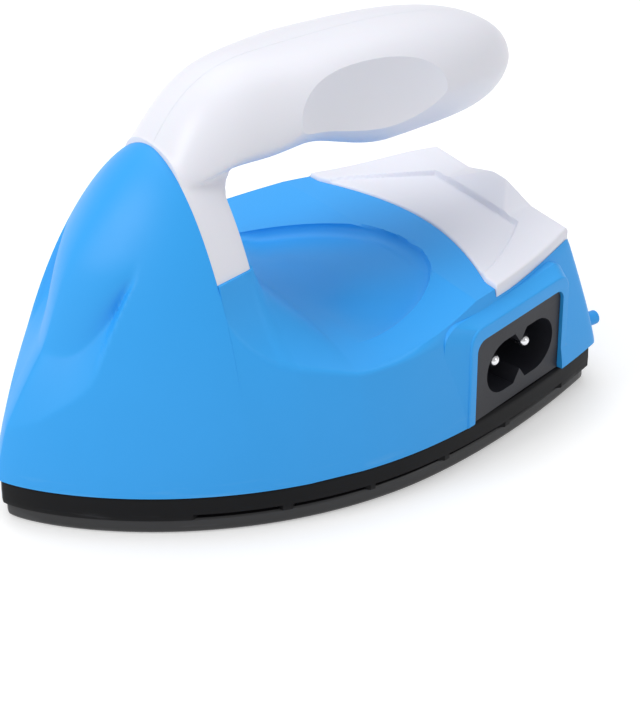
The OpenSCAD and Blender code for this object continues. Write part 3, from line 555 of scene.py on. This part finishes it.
def coverSkin(x, y):
    # upper side over the underside: a rim that grows from the deck at the front to the full side at the
    # rear, less a lowered inner panel, plus a hood that is the lesser of a slant and two flanks
    c = cover
    t = coverRun(x)
    back = np.clip((x - coverFront(y)) / (coverTail - coverFront(y)), 0, 1)
    lip = deckHeight(x, y) + c["lip"] - coverBase(x, y)
    side = mix(lip, mix(c["thin"], c["side"], t), ease(0, 0.8, back))
    start = c["frontX"] - c["panelStart"]
    taper = c["borderTaper"] * np.clip((x - start) / c["panelRun"], 0, 1) ** c["borderPower"]
    border = c["edgeTurn"] - c["borderIn"] - taper
    panel = ease(0, 0.6, border - np.abs(y)) * ease(0, 0.6, start + c["panelRun"] - x)
    slant = softClip((x - coverTail + c["hoodRun"]) / c["hoodRun"])
    flank = softClip((c["hoodHalf"] - np.abs(y)) / c["hoodFlank"])
    hood = (slant + flank - np.sqrt((slant - flank) ** 2 + 0.003)) / 2 + 0.02
    return coverBase(x, y) + side - c["step"] * mix(0.35, 1, t) * panel + c["hood"] * np.maximum(0, hood)


def softClip(t):
    # 0 below 0, 1 above 1, with the two corners a little rounded
    return (np.sqrt(t * t + 0.002) - np.sqrt((t - 1) ** 2 + 0.002) + 1) / 2


def coverGrid(rows, cols, edge=0.0):
    # two parameters over the sheet, with more lines within a narrow edge where one is asked for
    u, v = np.linspace(0, 1, rows), np.linspace(-1, 1, cols)
    if edge:
        close = np.linspace(0, 1, 6)
        u = np.unique(np.concatenate([u, edge / 20 * close, 1 - edge / 20 * close]))
        v = np.unique(np.concatenate([v, -1 + edge / 24 * close, 1 - edge / 24 * close]))
    return np.meshgrid(u, v, indexing="ij")


def slabParts(low, high):
    # two grids joined round their rims
    rimLow = np.concatenate([low[0], low[1:, -1], low[-1, -2::-1], low[-2:0:-1, 0]])
    rimHigh = np.concatenate([high[0], high[1:, -1], high[-1, -2::-1], high[-2:0:-1, 0]])
    return [(low, False), (high, False), (np.stack([rimLow, rimHigh], 0), True)]


def makeCover():
    # the sheet between both sides, its rim rounded by a quarter circle
    u, v = coverGrid(90, 150, edge=0.9)
    x, y = coverXY(u, v, 0.0)
    base, skin = coverBase(x, y), coverSkin(x, y)
    r = cover["edgeRound"]
    length = coverTail - coverFront(v * cover["reach"])
    gap = np.minimum(np.minimum(u, 1 - u) * length, (1 - np.abs(v)) * np.maximum(20, coverSideHalf(x)))
    skin = skin - (r - np.sqrt(np.maximum(0, r * r - (r - np.clip(gap, 0, r)) ** 2)))
    parts = slabParts(np.stack([x, y, base], -1), np.stack([x, y, skin], -1))
    return makePiece("whiteCover", parts, sharp=28)


def coverPocket():
    # the space over the cover's underside, cut out of the shell
    u, v = coverGrid(8, 40)
    x, y = coverXY(u, v, cover["pocketGap"])
    low = np.stack([x, y, coverBase(x, y)], -1)
    return makePiece("coverPocket", slabParts(low, low * [1, 1, 0] + [0, 0, 70]))


# white handle: an arm on a root that stands on the shell
handle = {
    "top": 72.14,
    "endX": 48.52,
    "halfWidth": 13.05,
    "rootNarrow": 4.5,
    "gripZ": 50.85,
    "neckZ": 55.7,
    "endZ": 58.8,
    "flatX": 0.3,
    "lowX": 29.2,
    "widestX": 8.6,
    "crown": 0.49,
    "neck": 0.7,
    "frontPower": 3.34,
    "topPower": 2.94,
    "lowPower": 3.21,
    "sidePower": 2.74,
    "neckRun": (0.0, 19.4),
    "rootRun": 37.0,
    "archCrown": 0.9,
    "archRun": 12.0,
    "crownRun": (-8.0, 6.0),
    "legTop": 56.5,
    "panelTop": 56.0,
    "legBend": 4.5,
    "panelBend": 3.6,
    "bendTop": 56.4,
    "seam": 0.015,
    "cell": 0.42,
    "softSteps": 12,
}
dish = {
    "at": (13.4, 13.0, 63.2),
    "half": (17.0, 13.0, 4.9),
    "lean": 12.0,
    "pitch": -2.0,
    "out": 1.5,
}


def armTop(x):
    # height of the arm's upper outline: a power rise from the peak, then a power fall to the end
    h = handle
    f = np.clip((x - archX) / (h["flatX"] - archX), 0, 1)
    v = np.clip((x - h["flatX"]) / (h["endX"] - h["flatX"]), 0, 1)
    front = h["top"] - (h["top"] - shell["peak"] - 0.2) * (1 - f) ** h["frontPower"]
    rear = h["top"] - (h["top"] - h["endZ"]) * (1 - np.sqrt(1 - v ** h["topPower"]))
    return np.where(x < h["flatX"], front, rear)


def armBottom(x):
    # height of the lower outline: high at the neck, level along the grip, then up to the end
    h = handle
    v = np.clip((x - h["lowX"]) / (h["endX"] - h["lowX"]), 0, 1)
    drop = h["endZ"] - 0.4 - h["gripZ"]
    neck = (h["neckZ"] - h["gripZ"]) * (1 - ease(*h["neckRun"], x))
    return h["gripZ"] + neck + drop * (1 - np.sqrt(1 - v ** h["lowPower"]))


def armHalf(x):
    # half width: narrower at the root, then a power fall to the end
    h = handle
    f = np.clip((x - archX) / h["rootRun"], 0, 1)
    v = np.clip((x - h["widestX"]) / (h["endX"] - h["widestX"]), 0, 1)
    return (h["halfWidth"] - h["rootNarrow"] * (1 - f) ** 3) * np.sqrt(1 - v ** h["sidePower"])


def makeArm():
    # closed rings carried along x: a crowned top and sides that lean in to a rounded underside
    x = mix(archX, handle["endX"] - 0.012, 1 - (1 - np.linspace(0, 1, 150)) ** 1.9)
    x = np.concatenate([[archX - 4], x])
    a = (np.arange(120) + 0.5) / 120 * 2 * np.pi
    sn, cs = np.sin(a)[None], np.cos(a)[None]
    top, low, w = armTop(x)[:, None], armBottom(x)[:, None], armHalf(x)[:, None]
    share = mix(handle["archCrown"], handle["neck"], ease(archX, archX + handle["archRun"], x))
    share = share + (handle["crown"] - handle["neck"]) * ease(*handle["crownRun"], x)
    c = share[:, None] * (top - low)  # height of the section above its widest line
    mid = top - c
    up = sn > 0
    y = w * np.sign(cs) * np.abs(cs) ** np.where(up, 0.8, 0.72) * np.where(up, 1, 1 + 0.12 * sn)
    z = np.where(up, mid + c * np.abs(sn) ** 1.25, mid - (mid - low) * np.abs(sn) ** 1.1)
    rings = np.stack([x[:, None] + 0 * y, y, z], -1)
    return makePiece("handleArm", closedRings(rings), sharp=30)


def makeLegs(top, bend):
    # the root of the handle: its outline in plan at each level, flush with the arch, its rear bent back
    # under the neck in an arc of the given radius
    zs = np.concatenate([[38.0], np.linspace(shell["legSeat"], top, 30)])
    half = shellHalf(np.full_like(zs, beforeArch), np.maximum(zs, shell["legSeat"]))
    up = np.clip(zs - handle["bendTop"] + bend, 0, bend * 0.92)
    rear = legRear + bend - np.sqrt(np.maximum(0, bend ** 2 - up ** 2))
    turn = np.minimum(half - 0.6, shell["legTurn"])
    reach = np.array([-4, 0, 0.25, 0.5, 0.75, 0.9, 0.97, 1.0])
    pull = np.array([0, 0, 0.25, 0.5, 0.75, 0.9, 1.05, 1.5])
    span = (rear - archX)[:, None]
    xs = archX + np.where(reach < 0, reach, span * reach)
    ys = np.maximum(0.4, half[:, None] - turn[:, None] * pull[None])
    nearSide = np.stack([xs, -ys, zs[:, None] + 0 * xs], -1)
    loops = np.concatenate([nearSide, nearSide[:, ::-1] * [1, -1, 1]], 1)
    return makePiece("handleLegs", closedRings(loops), sharp=40)


def makeDish(side):
    # ellipsoid half sunk in the arm's side: its axes lie along the arm, up the side and out of it
    a, b = np.linspace(0, np.pi, 70)[:, None], (np.arange(120) / 120 * 2 * np.pi)[None]
    local = np.stack([np.cos(a) + 0 * b, np.sin(a) * np.cos(b), np.sin(a) * np.sin(b)], -1) * dish["half"]
    lean, pitch = math.radians(dish["lean"]), math.radians(dish["pitch"])
    out = np.array([0, math.cos(lean), math.sin(lean)])
    flat, upward = np.array([1.0, 0, 0]), np.array([0, -math.sin(lean), math.cos(lean)])
    first = flat * math.cos(pitch) + upward * math.sin(pitch)
    second = upward * math.cos(pitch) - flat * math.sin(pitch)
    place = np.array(dish["at"]) + out * dish["out"]
    points = place + local[..., :1] * first + local[..., 1:2] * second + local[..., 2:] * out
    return makePiece("dish", [(points * [1, side, 1], True)])


def makeHandle():
    # equal small cells join arm and root in one skin, and smoothing leaves a soft hollow between them;
    # crisp legs and the two dishes follow
    arm = makeArm()
    carve(arm, makeLegs(handle["legTop"], handle["legBend"]), "UNION")
    cells = arm.modifiers.new("cells", "REMESH")
    cells.mode, cells.voxel_size = "VOXEL", handle["cell"] * mm
    soft = arm.modifiers.new("soft", "SMOOTH")
    soft.factor, soft.iterations = 0.5, handle["softSteps"]
    settle(arm, 40)
    carve(arm, makeLegs(handle["panelTop"], handle["panelBend"]), "UNION", sharp=20)
    for side in (-1, 1):
        carve(arm, makeDish(side), "DIFFERENCE", sharp=20)
    return arm


def halfSpace(side):
    # box on one side of the seam, from the arch's plane and the legs' seat outwards
    lo, hi = np.array([archX + 0.02, handle["seam"], shell["legSeat"] + 0.02]), np.array([90, 90, 140])
    corners = np.array([[lo, [hi[0], lo[1], lo[2]]], [[lo[0], hi[1], lo[2]], [hi[0], hi[1], lo[2]]]], float)
    top = corners * [1, 1, 0] + [0, 0, hi[2]]
    return makePiece("halfSpace", slabParts(corners * [1, side, 1], top * [1, side, 1]))


# black skirt and coated sole plate
base = {
    "plate": 3.0,
    "skirtTop": 7.93,
    "skirtOut": 0.7,
    "ventHeight": 1.2,
    "ventDepth": 1.6,
    "ventFrom": -31.0,
    "ventLength": 13.4,
    "ventPitch": 15.3,
    "vents": 5,
}


def outlineLoop(g, x):
    # closed loop of outline points at the given stations: out along the near side, back along the far side
    half = planHalf(x, g)
    near = np.stack([x, -half], -1)
    far = near[::-1] * [1, -1]
    return np.concatenate([near, far[:-1]], 0)


def outlineStations(g):
    # stations from tip to tail, closer together at the nose
    tip, back = noseX - outline["tipGrowth"] * g, tailX + g
    t = np.linspace(0, 1, 150)
    return mix(tip, back, t ** 1.7)


def ringGrid(profile):
    # a profile of (growth, height) pairs carried round the outline
    rows = []
    for g, z in profile:
        loop = outlineLoop(g, outlineStations(g))
        rows.append(np.column_stack([loop, np.full(len(loop), z)]))
    return np.array(rows)


def roundTail(grid, r):
    # rounds the two corners of the tail in plan by pulling the last stations in
    x, y = grid[..., 0], grid[..., 1]
    back = x.max(axis=1, keepdims=True)
    t = np.clip((x - (back - r)) / r, 0, 1)
    grid[..., 1] = y - np.sign(y) * r * (1 - np.sqrt(1 - t * t)) * 0.9
    return grid


def makeSkirt():
    # a ring whose profile of (growth, height) pairs is rounded at both edges
    b = base
    out, low = b["skirtOut"], b["plate"]
    v0, v1 = low + b["ventHeight"], b["skirtTop"]
    profile = [
        (out - 2.4, low), (out - 0.25, low), (out - 0.08, low + 0.08), (out, low + 0.25),
        (out, v0 - 0.01), (out, v0 + 0.01), (out + 0.02, 4.9), (out + 0.02, 5.0),
        (out - 0.02, 6.9), (out - 0.02, 7.35), (out - 0.12, 7.6), (out - 0.4, v1 - 0.05),
        (out - 0.7, v1), (out - 2.4, v1),
    ]
    grid = roundTail(ringGrid(profile), 1.2)
    # vent slots: the lowest rows step inwards between the tabs
    x = grid[4, :, 0]
    along = x - b["ventFrom"]
    inRow = (along > 0) & (along < b["vents"] * b["ventPitch"])
    inVent = inRow & (along % b["ventPitch"] < b["ventLength"])
    deep = ringGrid([(out - b["ventDepth"], 0)])[0]
    grid[1:5, inVent, :2] = deep[inVent, :2]
    grid[5, inVent, :2] = grid[6, inVent, :2]
    loop = np.concatenate([grid, grid[:1]], 0)
    return makePiece("blackSkirt", [(loop, True)], sharp=30)


def makeSole():
    # the plate's rim is rounded below and slightly stepped above
    profile = [
        (-12, 0.0), (-1.2, 0.0), (-0.75, 0.05), (-0.4, 0.22), (-0.15, 0.5), (-0.03, 0.85),
        (0.0, 1.2), (0.0, 2.5), (-0.06, 2.75), (-0.25, 2.95), (-2.6, 2.95),
    ]
    grid = roundTail(ringGrid(profile), 1.0)
    nearSide = [grid[row, :(grid.shape[1] + 1) // 2] for row in (0, -1)]
    lids = [(np.stack([near, near * [1, -1, 1]], 0), False) for near in nearSide]
    return makePiece("solePlate", [(grid, True)] + lids, sharp=35)


# stand pegs at the tail
pegs = {"radius": 1.3, "spacing": 36.8, "reach": 58.15, "z": 9.6, "round": 0.5}


def makePeg(side):
    # a half profile of (x, radius) pairs turned round the peg's axis, with a rounded tip
    p = pegs
    x0 = float(levelTail(np.array(p["z"]))) - 1.5
    f = np.linspace(0, np.pi / 2, 7)
    inner = p["round"]
    x = np.concatenate([[x0, x0], p["reach"] - inner + inner * np.sin(f), [p["reach"]]])[:, None]
    r = np.concatenate([[0.001, p["radius"]], p["radius"] - inner + inner * np.cos(f), [0.001]])[:, None]
    turn = (np.arange(32) / 32 * 2 * np.pi)[None]
    y, z = side * p["spacing"] / 2 + r * np.cos(turn), p["z"] + r * np.sin(turn)
    return makePiece("peg", [(np.stack([x + 0 * y, y, z], -1), True)])


shellPiece = makeShell()
surround = archedBlock(
    "surround", inlet["surroundWidth"], shell["base"], inlet["surroundTop"], inlet["surroundRound"],
    -inlet["proud"], 7.0, inlet["rimRound"], inlet["flare"], inlet["flareDepth"],
)
carve(shellPiece, surround, "UNION")
for side in (-1, 1):
    carve(shellPiece, makePeg(side), "UNION")
carve(shellPiece, coverPocket(), "DIFFERENCE")
window = archedBlock(
    "window", inlet["width"] + 2 * inlet["gap"], shell["base"] - 1, inlet["top"] + inlet["gap"],
    inlet["windowRound"], -3.0, 14.0,
)
carve(shellPiece, window, "DIFFERENCE", sharp=32)
coverPiece = makeCover()
print("stage: shell and cover made")

handlePiece = makeHandle()
halves = []
for name, side in (("handleNear", -1), ("handleFar", 1)):
    half = handlePiece.copy()
    half.data = handlePiece.data.copy()
    half.name = half.data.name = name
    bpy.context.scene.collection.objects.link(half)
    carve(half, halfSpace(side), "INTERSECT", sharp=20)
    halves.append(half)
bpy.data.objects.remove(handlePiece)
skirtPiece, solePiece = makeSkirt(), makeSole()
print("stage: handle, skirt and sole made")


def newGroup(name, inputs, outputs):
    # shader group with its sockets, and its input and output nodes
    group = bpy.data.node_groups.new(name, "ShaderNodeTree")
    for label, value in inputs:
        socket = group.interface.new_socket(label, in_out="INPUT", socket_type="NodeSocketFloat")
        socket.default_value = value
    for label, kind in outputs:
        group.interface.new_socket(label, in_out="OUTPUT", socket_type=kind)
    return group, group.nodes.new("NodeGroupInput"), group.nodes.new("NodeGroupOutput")


def addNode(tree, kind, **values):
    # one node with the given properties
    node = tree.nodes.new(kind)
    for key, value in values.items():
        setattr(node, key, value)
    return node


def moulded():
    # fine mould grain for bump and roughness, with slow handling smudges
    group, enter, leave = newGroup(
        "mouldGrain",
        [("Grain Scale", 2600.0), ("Low", 0.3), ("High", 0.42), ("Smudge Scale", 60.0)],
        [("Roughness", "NodeSocketFloat"), ("Height", "NodeSocketFloat"), ("Smudge", "NodeSocketFloat")],
    )
    link = group.links.new
    where = addNode(group, "ShaderNodeTexCoord")
    fine = addNode(group, "ShaderNodeTexNoise")
    fine.inputs["Detail"].default_value = 3
    slow = addNode(group, "ShaderNodeTexNoise")
    slow.inputs["Detail"].default_value = 4
    slow.inputs["Roughness"].default_value = 0.6
    link(where.outputs["Object"], fine.inputs["Vector"])
    link(where.outputs["Object"], slow.inputs["Vector"])
    link(enter.outputs["Grain Scale"], fine.inputs["Scale"])
    link(enter.outputs["Smudge Scale"], slow.inputs["Scale"])
    both = addNode(group, "ShaderNodeMath", operation="MULTIPLY_ADD")
    both.inputs[1].default_value = 0.35
    link(fine.outputs["Fac"], both.inputs[0])
    link(slow.outputs["Fac"], both.inputs[2])
    spread = addNode(group, "ShaderNodeMapRange")
    spread.inputs["From Min"].default_value = 0.35
    spread.inputs["From Max"].default_value = 1.0
    link(both.outputs[0], spread.inputs["Value"])
    link(enter.outputs["Low"], spread.inputs["To Min"])
    link(enter.outputs["High"], spread.inputs["To Max"])
    link(spread.outputs["Result"], leave.inputs["Roughness"])
    link(fine.outputs["Fac"], leave.inputs["Height"])
    link(slow.outputs["Fac"], leave.inputs["Smudge"])
    return group


def scuffed():
    # short scratches that gather towards a height, as on the rim that meets the table
    group, enter, leave = newGroup(
        "rimScuffs",
        [("Full Height", 0.0), ("Clear Height", 0.004), ("Scale", 420.0)],
        [("Mask", "NodeSocketFloat")],
    )
    link = group.links.new
    where = addNode(group, "ShaderNodeTexCoord")
    split = addNode(group, "ShaderNodeSeparateXYZ")
    link(where.outputs["Object"], split.inputs[0])
    near = addNode(group, "ShaderNodeMapRange")
    link(split.outputs["Z"], near.inputs["Value"])
    link(enter.outputs["Full Height"], near.inputs["From Min"])
    link(enter.outputs["Clear Height"], near.inputs["From Max"])
    near.inputs["To Min"].default_value = 1.0
    near.inputs["To Max"].default_value = 0.0
    stretch = addNode(group, "ShaderNodeMapping")
    stretch.inputs["Scale"].default_value = (0.25, 0.25, 2.2)
    link(where.outputs["Object"], stretch.inputs["Vector"])
    marks = addNode(group, "ShaderNodeTexNoise")
    marks.inputs["Detail"].default_value = 5
    link(stretch.outputs[0], marks.inputs["Vector"])
    link(enter.outputs["Scale"], marks.inputs["Scale"])
    sharpen = addNode(group, "ShaderNodeMapRange")
    sharpen.inputs["From Min"].default_value = 0.56
    sharpen.inputs["From Max"].default_value = 0.7
    link(marks.outputs["Fac"], sharpen.inputs["Value"])
    times = addNode(group, "ShaderNodeMath", operation="MULTIPLY")
    link(near.outputs["Result"], times.inputs[0])
    link(sharpen.outputs["Result"], times.inputs[1])
    link(times.outputs[0], leave.inputs["Mask"])
    return group


mouldGrain, rimScuffs = moulded(), scuffed()


def makeFinish(name, look):
    # one Principled shader with grain, smudges and, where asked, scuffs along a rim
    finish = bpy.data.materials.new(name)
    finish.use_nodes = True
    tree = finish.node_tree
    link = tree.links.new
    skin = tree.nodes["Principled BSDF"]
    skin.inputs["Metallic"].default_value = look.get("metal", 0.0)
    skin.inputs["Specular IOR Level"].default_value = look.get("specular", 0.5)
    skin.inputs["Subsurface Weight"].default_value = look.get("subsurface", 0.0)
    skin.inputs["Subsurface Scale"].default_value = 0.002
    grain = addNode(tree, "ShaderNodeGroup", node_tree=mouldGrain)
    grain.inputs["Grain Scale"].default_value = look.get("grainScale", 2600)
    grain.inputs["Low"].default_value, grain.inputs["High"].default_value = look["rough"]
    tone = addNode(tree, "ShaderNodeMix", data_type="RGBA")
    tone.inputs["A"].default_value = (*look["color"], 1)
    tone.inputs["B"].default_value = (*[c * look.get("deep", 0.93) for c in look["color"]], 1)
    link(grain.outputs["Smudge"], tone.inputs["Factor"])
    color, rough = tone.outputs["Result"], grain.outputs["Roughness"]
    if "scuff" in look:
        scuff = addNode(tree, "ShaderNodeGroup", node_tree=rimScuffs)
        full, clear = look["scuff"]
        scuff.inputs["Full Height"].default_value = full
        scuff.inputs["Clear Height"].default_value = clear
        worn = addNode(tree, "ShaderNodeMix", data_type="RGBA")
        worn.inputs["B"].default_value = (*look["scuffColor"], 1)
        amount = addNode(tree, "ShaderNodeMath", operation="MULTIPLY")
        amount.inputs[1].default_value = look.get("scuffAmount", 0.5)
        link(scuff.outputs["Mask"], amount.inputs[0])
        link(amount.outputs[0], worn.inputs["Factor"])
        link(color, worn.inputs["A"])
        color = worn.outputs["Result"]
    link(color, skin.inputs["Base Color"])
    link(rough, skin.inputs["Roughness"])
    bump = addNode(tree, "ShaderNodeBump")
    bump.inputs["Strength"].default_value = look.get("bump", 0.15)
    bump.inputs["Distance"].default_value = look.get("bumpDepth", 0.00003)
    link(grain.outputs["Height"], bump.inputs["Height"])
    link(bump.outputs["Normal"], skin.inputs["Normal"])
    return finish


# roughness runs from smooth to dull over a smudge; a scuff fades out between two heights in metres
looks = {
    "blue_shell": {
        "color": (0.028, 0.375, 0.9), "deep": 0.95, "rough": (0.4, 0.5), "specular": 0.4,
        "bump": 0.06, "bumpDepth": 0.00001,
        "scuff": (0.008, 0.0115), "scuffColor": (0.12, 0.45, 0.88), "scuffAmount": 0.35,
    },
    "white_plastic": {
        "color": (0.81, 0.815, 0.885), "deep": 0.975, "rough": (0.3, 0.4), "specular": 0.35,
        "subsurface": 0.05, "bump": 0.03, "bumpDepth": 0.00001,
    },
    "black_skirt": {
        "color": (0.0045, 0.0045, 0.0055), "deep": 0.8, "rough": (0.4, 0.52), "specular": 0.14,
        "grainScale": 1900, "bump": 0.2,
        "scuff": (0.0028, 0.0048), "scuffColor": (0.06, 0.06, 0.065), "scuffAmount": 0.6,
    },
    "sole_coat": {
        "color": (0.018, 0.018, 0.02), "deep": 0.75, "rough": (0.28, 0.45),
        "grainScale": 1500, "bump": 0.3,
        "scuff": (-0.001, 0.0022), "scuffColor": (0.11, 0.11, 0.12), "scuffAmount": 0.5,
    },
    "inlet_plastic": {
        "color": (0.02, 0.021, 0.028), "deep": 0.85, "rough": (0.4, 0.52), "specular": 0.3,
        "grainScale": 2200, "bump": 0.4,
    },
    "pin_metal": {"color": (0.82, 0.82, 0.84), "metal": 1.0, "rough": (0.14, 0.26), "bump": 0.05},
    "tab_brass": {"color": (0.75, 0.58, 0.28), "metal": 1.0, "rough": (0.25, 0.4), "bump": 0.1},
    "sheet_steel": {"color": (0.58, 0.59, 0.61), "metal": 1.0, "rough": (0.28, 0.44), "bump": 0.15},
    "screw_steel": {"color": (0.56, 0.56, 0.58), "metal": 1.0, "rough": (0.25, 0.4), "bump": 0.1},
    "foil": {"color": (0.72, 0.73, 0.75), "metal": 1.0, "rough": (0.25, 0.4), "bump": 0.2},
    "film": {"color": (0.6, 0.33, 0.08), "rough": (0.25, 0.4), "bump": 0.1},
    "ceramic": {"color": (0.1, 0.1, 0.11), "rough": (0.6, 0.8), "bump": 0.4},
    "fuse_case": {"color": (0.65, 0.56, 0.36), "metal": 1.0, "rough": (0.3, 0.45), "bump": 0.1},
    "sleeve": {"color": (0.72, 0.68, 0.56), "rough": (0.75, 0.9), "bump": 0.6, "grainScale": 1600},
    "lead_red": {"color": (0.42, 0.03, 0.02), "rough": (0.4, 0.55), "bump": 0.1},
    "lead_blue": {"color": (0.03, 0.08, 0.36), "rough": (0.4, 0.55), "bump": 0.1},
}
finishes = {name: makeFinish(name, look) for name, look in looks.items()}
print("stage: finishes made")

# each new piece rides the body and stands in for its CAD node; all other nodes keep their shape
newPieces = [
    (shellPiece, "blue_shell", "body_shell"),
    (coverPiece, "white_plastic", "rear_cover"),
    (halves[0], "white_plastic", "handle_near_half"),
    (halves[1], "white_plastic", "handle_far_half"),
    (skirtPiece, "black_skirt", "base_skirt"),
    (solePiece, "sole_coat", "sole_plate"),
]
for piece, slotName, node in newPieces:
    piece.data.materials.clear()
    piece.data.materials.append(finishes[slotName])
    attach(piece, "root")
    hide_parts(node)
hidden = {node for _, _, node in newPieces}
for part in frame["record"]["subparts"]:
    if part["node"] in hidden:
        continue
    for slot in nodes[part["node"]].material_slots:
        slot.material = finishes[part["material_slot"]]
print("stage: pieces dressed")

# camera at the photograph's angle; its axes are fitted, so they are written as they are
view = {
    "place": (-0.21446, -0.32208, 0.25510),
    "right": (0.8204, -0.5717, 0.0),
    "up": (0.3037, 0.4359, 0.8471),
    "back": (-0.4844, -0.6950, 0.5313),
    "lens": 132.07,
    "sensor": 36,
}


def frameOf(right, up, back, place):
    # matrix whose columns are three axes and a place
    return Matrix([list(row) for row in zip(right, up, back, place)] + [[0, 0, 0, 1]])


cameraData = bpy.data.cameras.new("camera")
cameraData.lens, cameraData.sensor_width = view["lens"], view["sensor"]
cameraData.clip_start, cameraData.clip_end = 0.01, 50
camera = bpy.data.objects.new("camera", cameraData)
camera.matrix_world = frameOf(view["right"], view["up"], view["back"], view["place"])
bpy.context.scene.collection.objects.link(camera)
bpy.context.scene.camera = camera


def paleSurface(name, color, seen):
    # matte surface with a glow that the camera sees, also in gloss and through glass, but that lights nothing
    finish = bpy.data.materials.new(name)
    finish.use_nodes = True
    tree = finish.node_tree
    link = tree.links.new
    skin, leave = tree.nodes["Principled BSDF"], tree.nodes["Material Output"]
    skin.inputs["Base Color"].default_value = (*color, 1)
    skin.inputs["Roughness"].default_value = 0.9
    skin.inputs["Specular IOR Level"].default_value = 0.1
    glow = addNode(tree, "ShaderNodeEmission")
    glow.inputs["Color"].default_value = (1, 1, 1, 1)
    path = addNode(tree, "ShaderNodeLightPath")
    either = addNode(tree, "ShaderNodeMath", operation="MAXIMUM")
    link(path.outputs["Is Camera Ray"], either.inputs[0])
    link(path.outputs["Is Glossy Ray"], either.inputs[1])
    third = addNode(tree, "ShaderNodeMath", operation="MAXIMUM")
    link(either.outputs[0], third.inputs[0])
    link(path.outputs["Is Transmission Ray"], third.inputs[1])
    amount = addNode(tree, "ShaderNodeMath", operation="MULTIPLY")
    amount.inputs[1].default_value = seen
    link(third.outputs[0], amount.inputs[0])
    link(amount.outputs[0], glow.inputs["Strength"])
    both = addNode(tree, "ShaderNodeAddShader")
    link(skin.outputs[0], both.inputs[0])
    link(glow.outputs[0], both.inputs[1])
    link(both.outputs[0], leave.inputs["Surface"])
    return finish


# light comes from the world, the glowing floor and three soft lamps: name, place, size and power
room = {
    "floorHalf": 3000.0,
    "floorZ": -0.01,
    "floorColor": (0.8, 0.8, 0.8),
    "floorGlow": 0.34,
    "world": 0.56,
    "aim": (0, 0, 0.03),
    "lamps": (
        ("keyBox", (-0.85, 0.05, 0.7), 0.5, 4.3),
        ("topBox", (0.15, 0.25, 0.95), 1.1, 4.2),
        ("sideFill", (0.5, -0.85, 0.35), 0.5, 0.9),
    ),
}
ends = [-room["floorHalf"], room["floorHalf"]]
floorGrid = np.stack(np.meshgrid(ends, ends, indexing="ij"), -1)
floorGrid = np.concatenate([floorGrid, np.full((2, 2, 1), room["floorZ"])], -1)
floor = makePiece("floor", [(floorGrid, False)], outward=False)  # as made, it faces down
floor.data.flip_normals()
floor.data.materials.append(paleSurface("paleFloor", room["floorColor"], room["floorGlow"]))

# the world is plain white to the camera and dimmer as a light
world = bpy.data.worlds.new("paleRoom")
bpy.context.scene.world = world
world.use_nodes = True
sky = world.node_tree
background = sky.nodes["Background"]
background.inputs["Color"].default_value = (1, 1, 1, 1)
path = addNode(sky, "ShaderNodeLightPath")
either = addNode(sky, "ShaderNodeMath", operation="MAXIMUM")
sky.links.new(path.outputs["Is Camera Ray"], either.inputs[0])
sky.links.new(path.outputs["Is Transmission Ray"], either.inputs[1])
strength = addNode(sky, "ShaderNodeMapRange")
strength.inputs["To Min"].default_value = room["world"]
strength.inputs["To Max"].default_value = 1.0
sky.links.new(either.outputs[0], strength.inputs["Value"])
sky.links.new(strength.outputs["Result"], background.inputs["Strength"])


def softbox(name, place, size, power):
    # round soft lamp that faces the place aimed at
    lampData = bpy.data.lights.new(name, "AREA")
    lampData.shape, lampData.size, lampData.energy = "DISK", size, power
    lamp = bpy.data.objects.new(name, lampData)
    direction = np.array(room["aim"], float) - np.array(place, float)
    back = -direction / np.linalg.norm(direction)
    right = np.cross([0, 0, 1], back)
    right /= np.linalg.norm(right)
    up = np.cross(back, right)
    lamp.matrix_world = frameOf(right, up, back, place)
    bpy.context.scene.collection.objects.link(lamp)


for lampSet in room["lamps"]:
    softbox(*lampSet)
bpy.context.scene.view_settings.view_transform = "Standard"
print("stage: camera and light set")
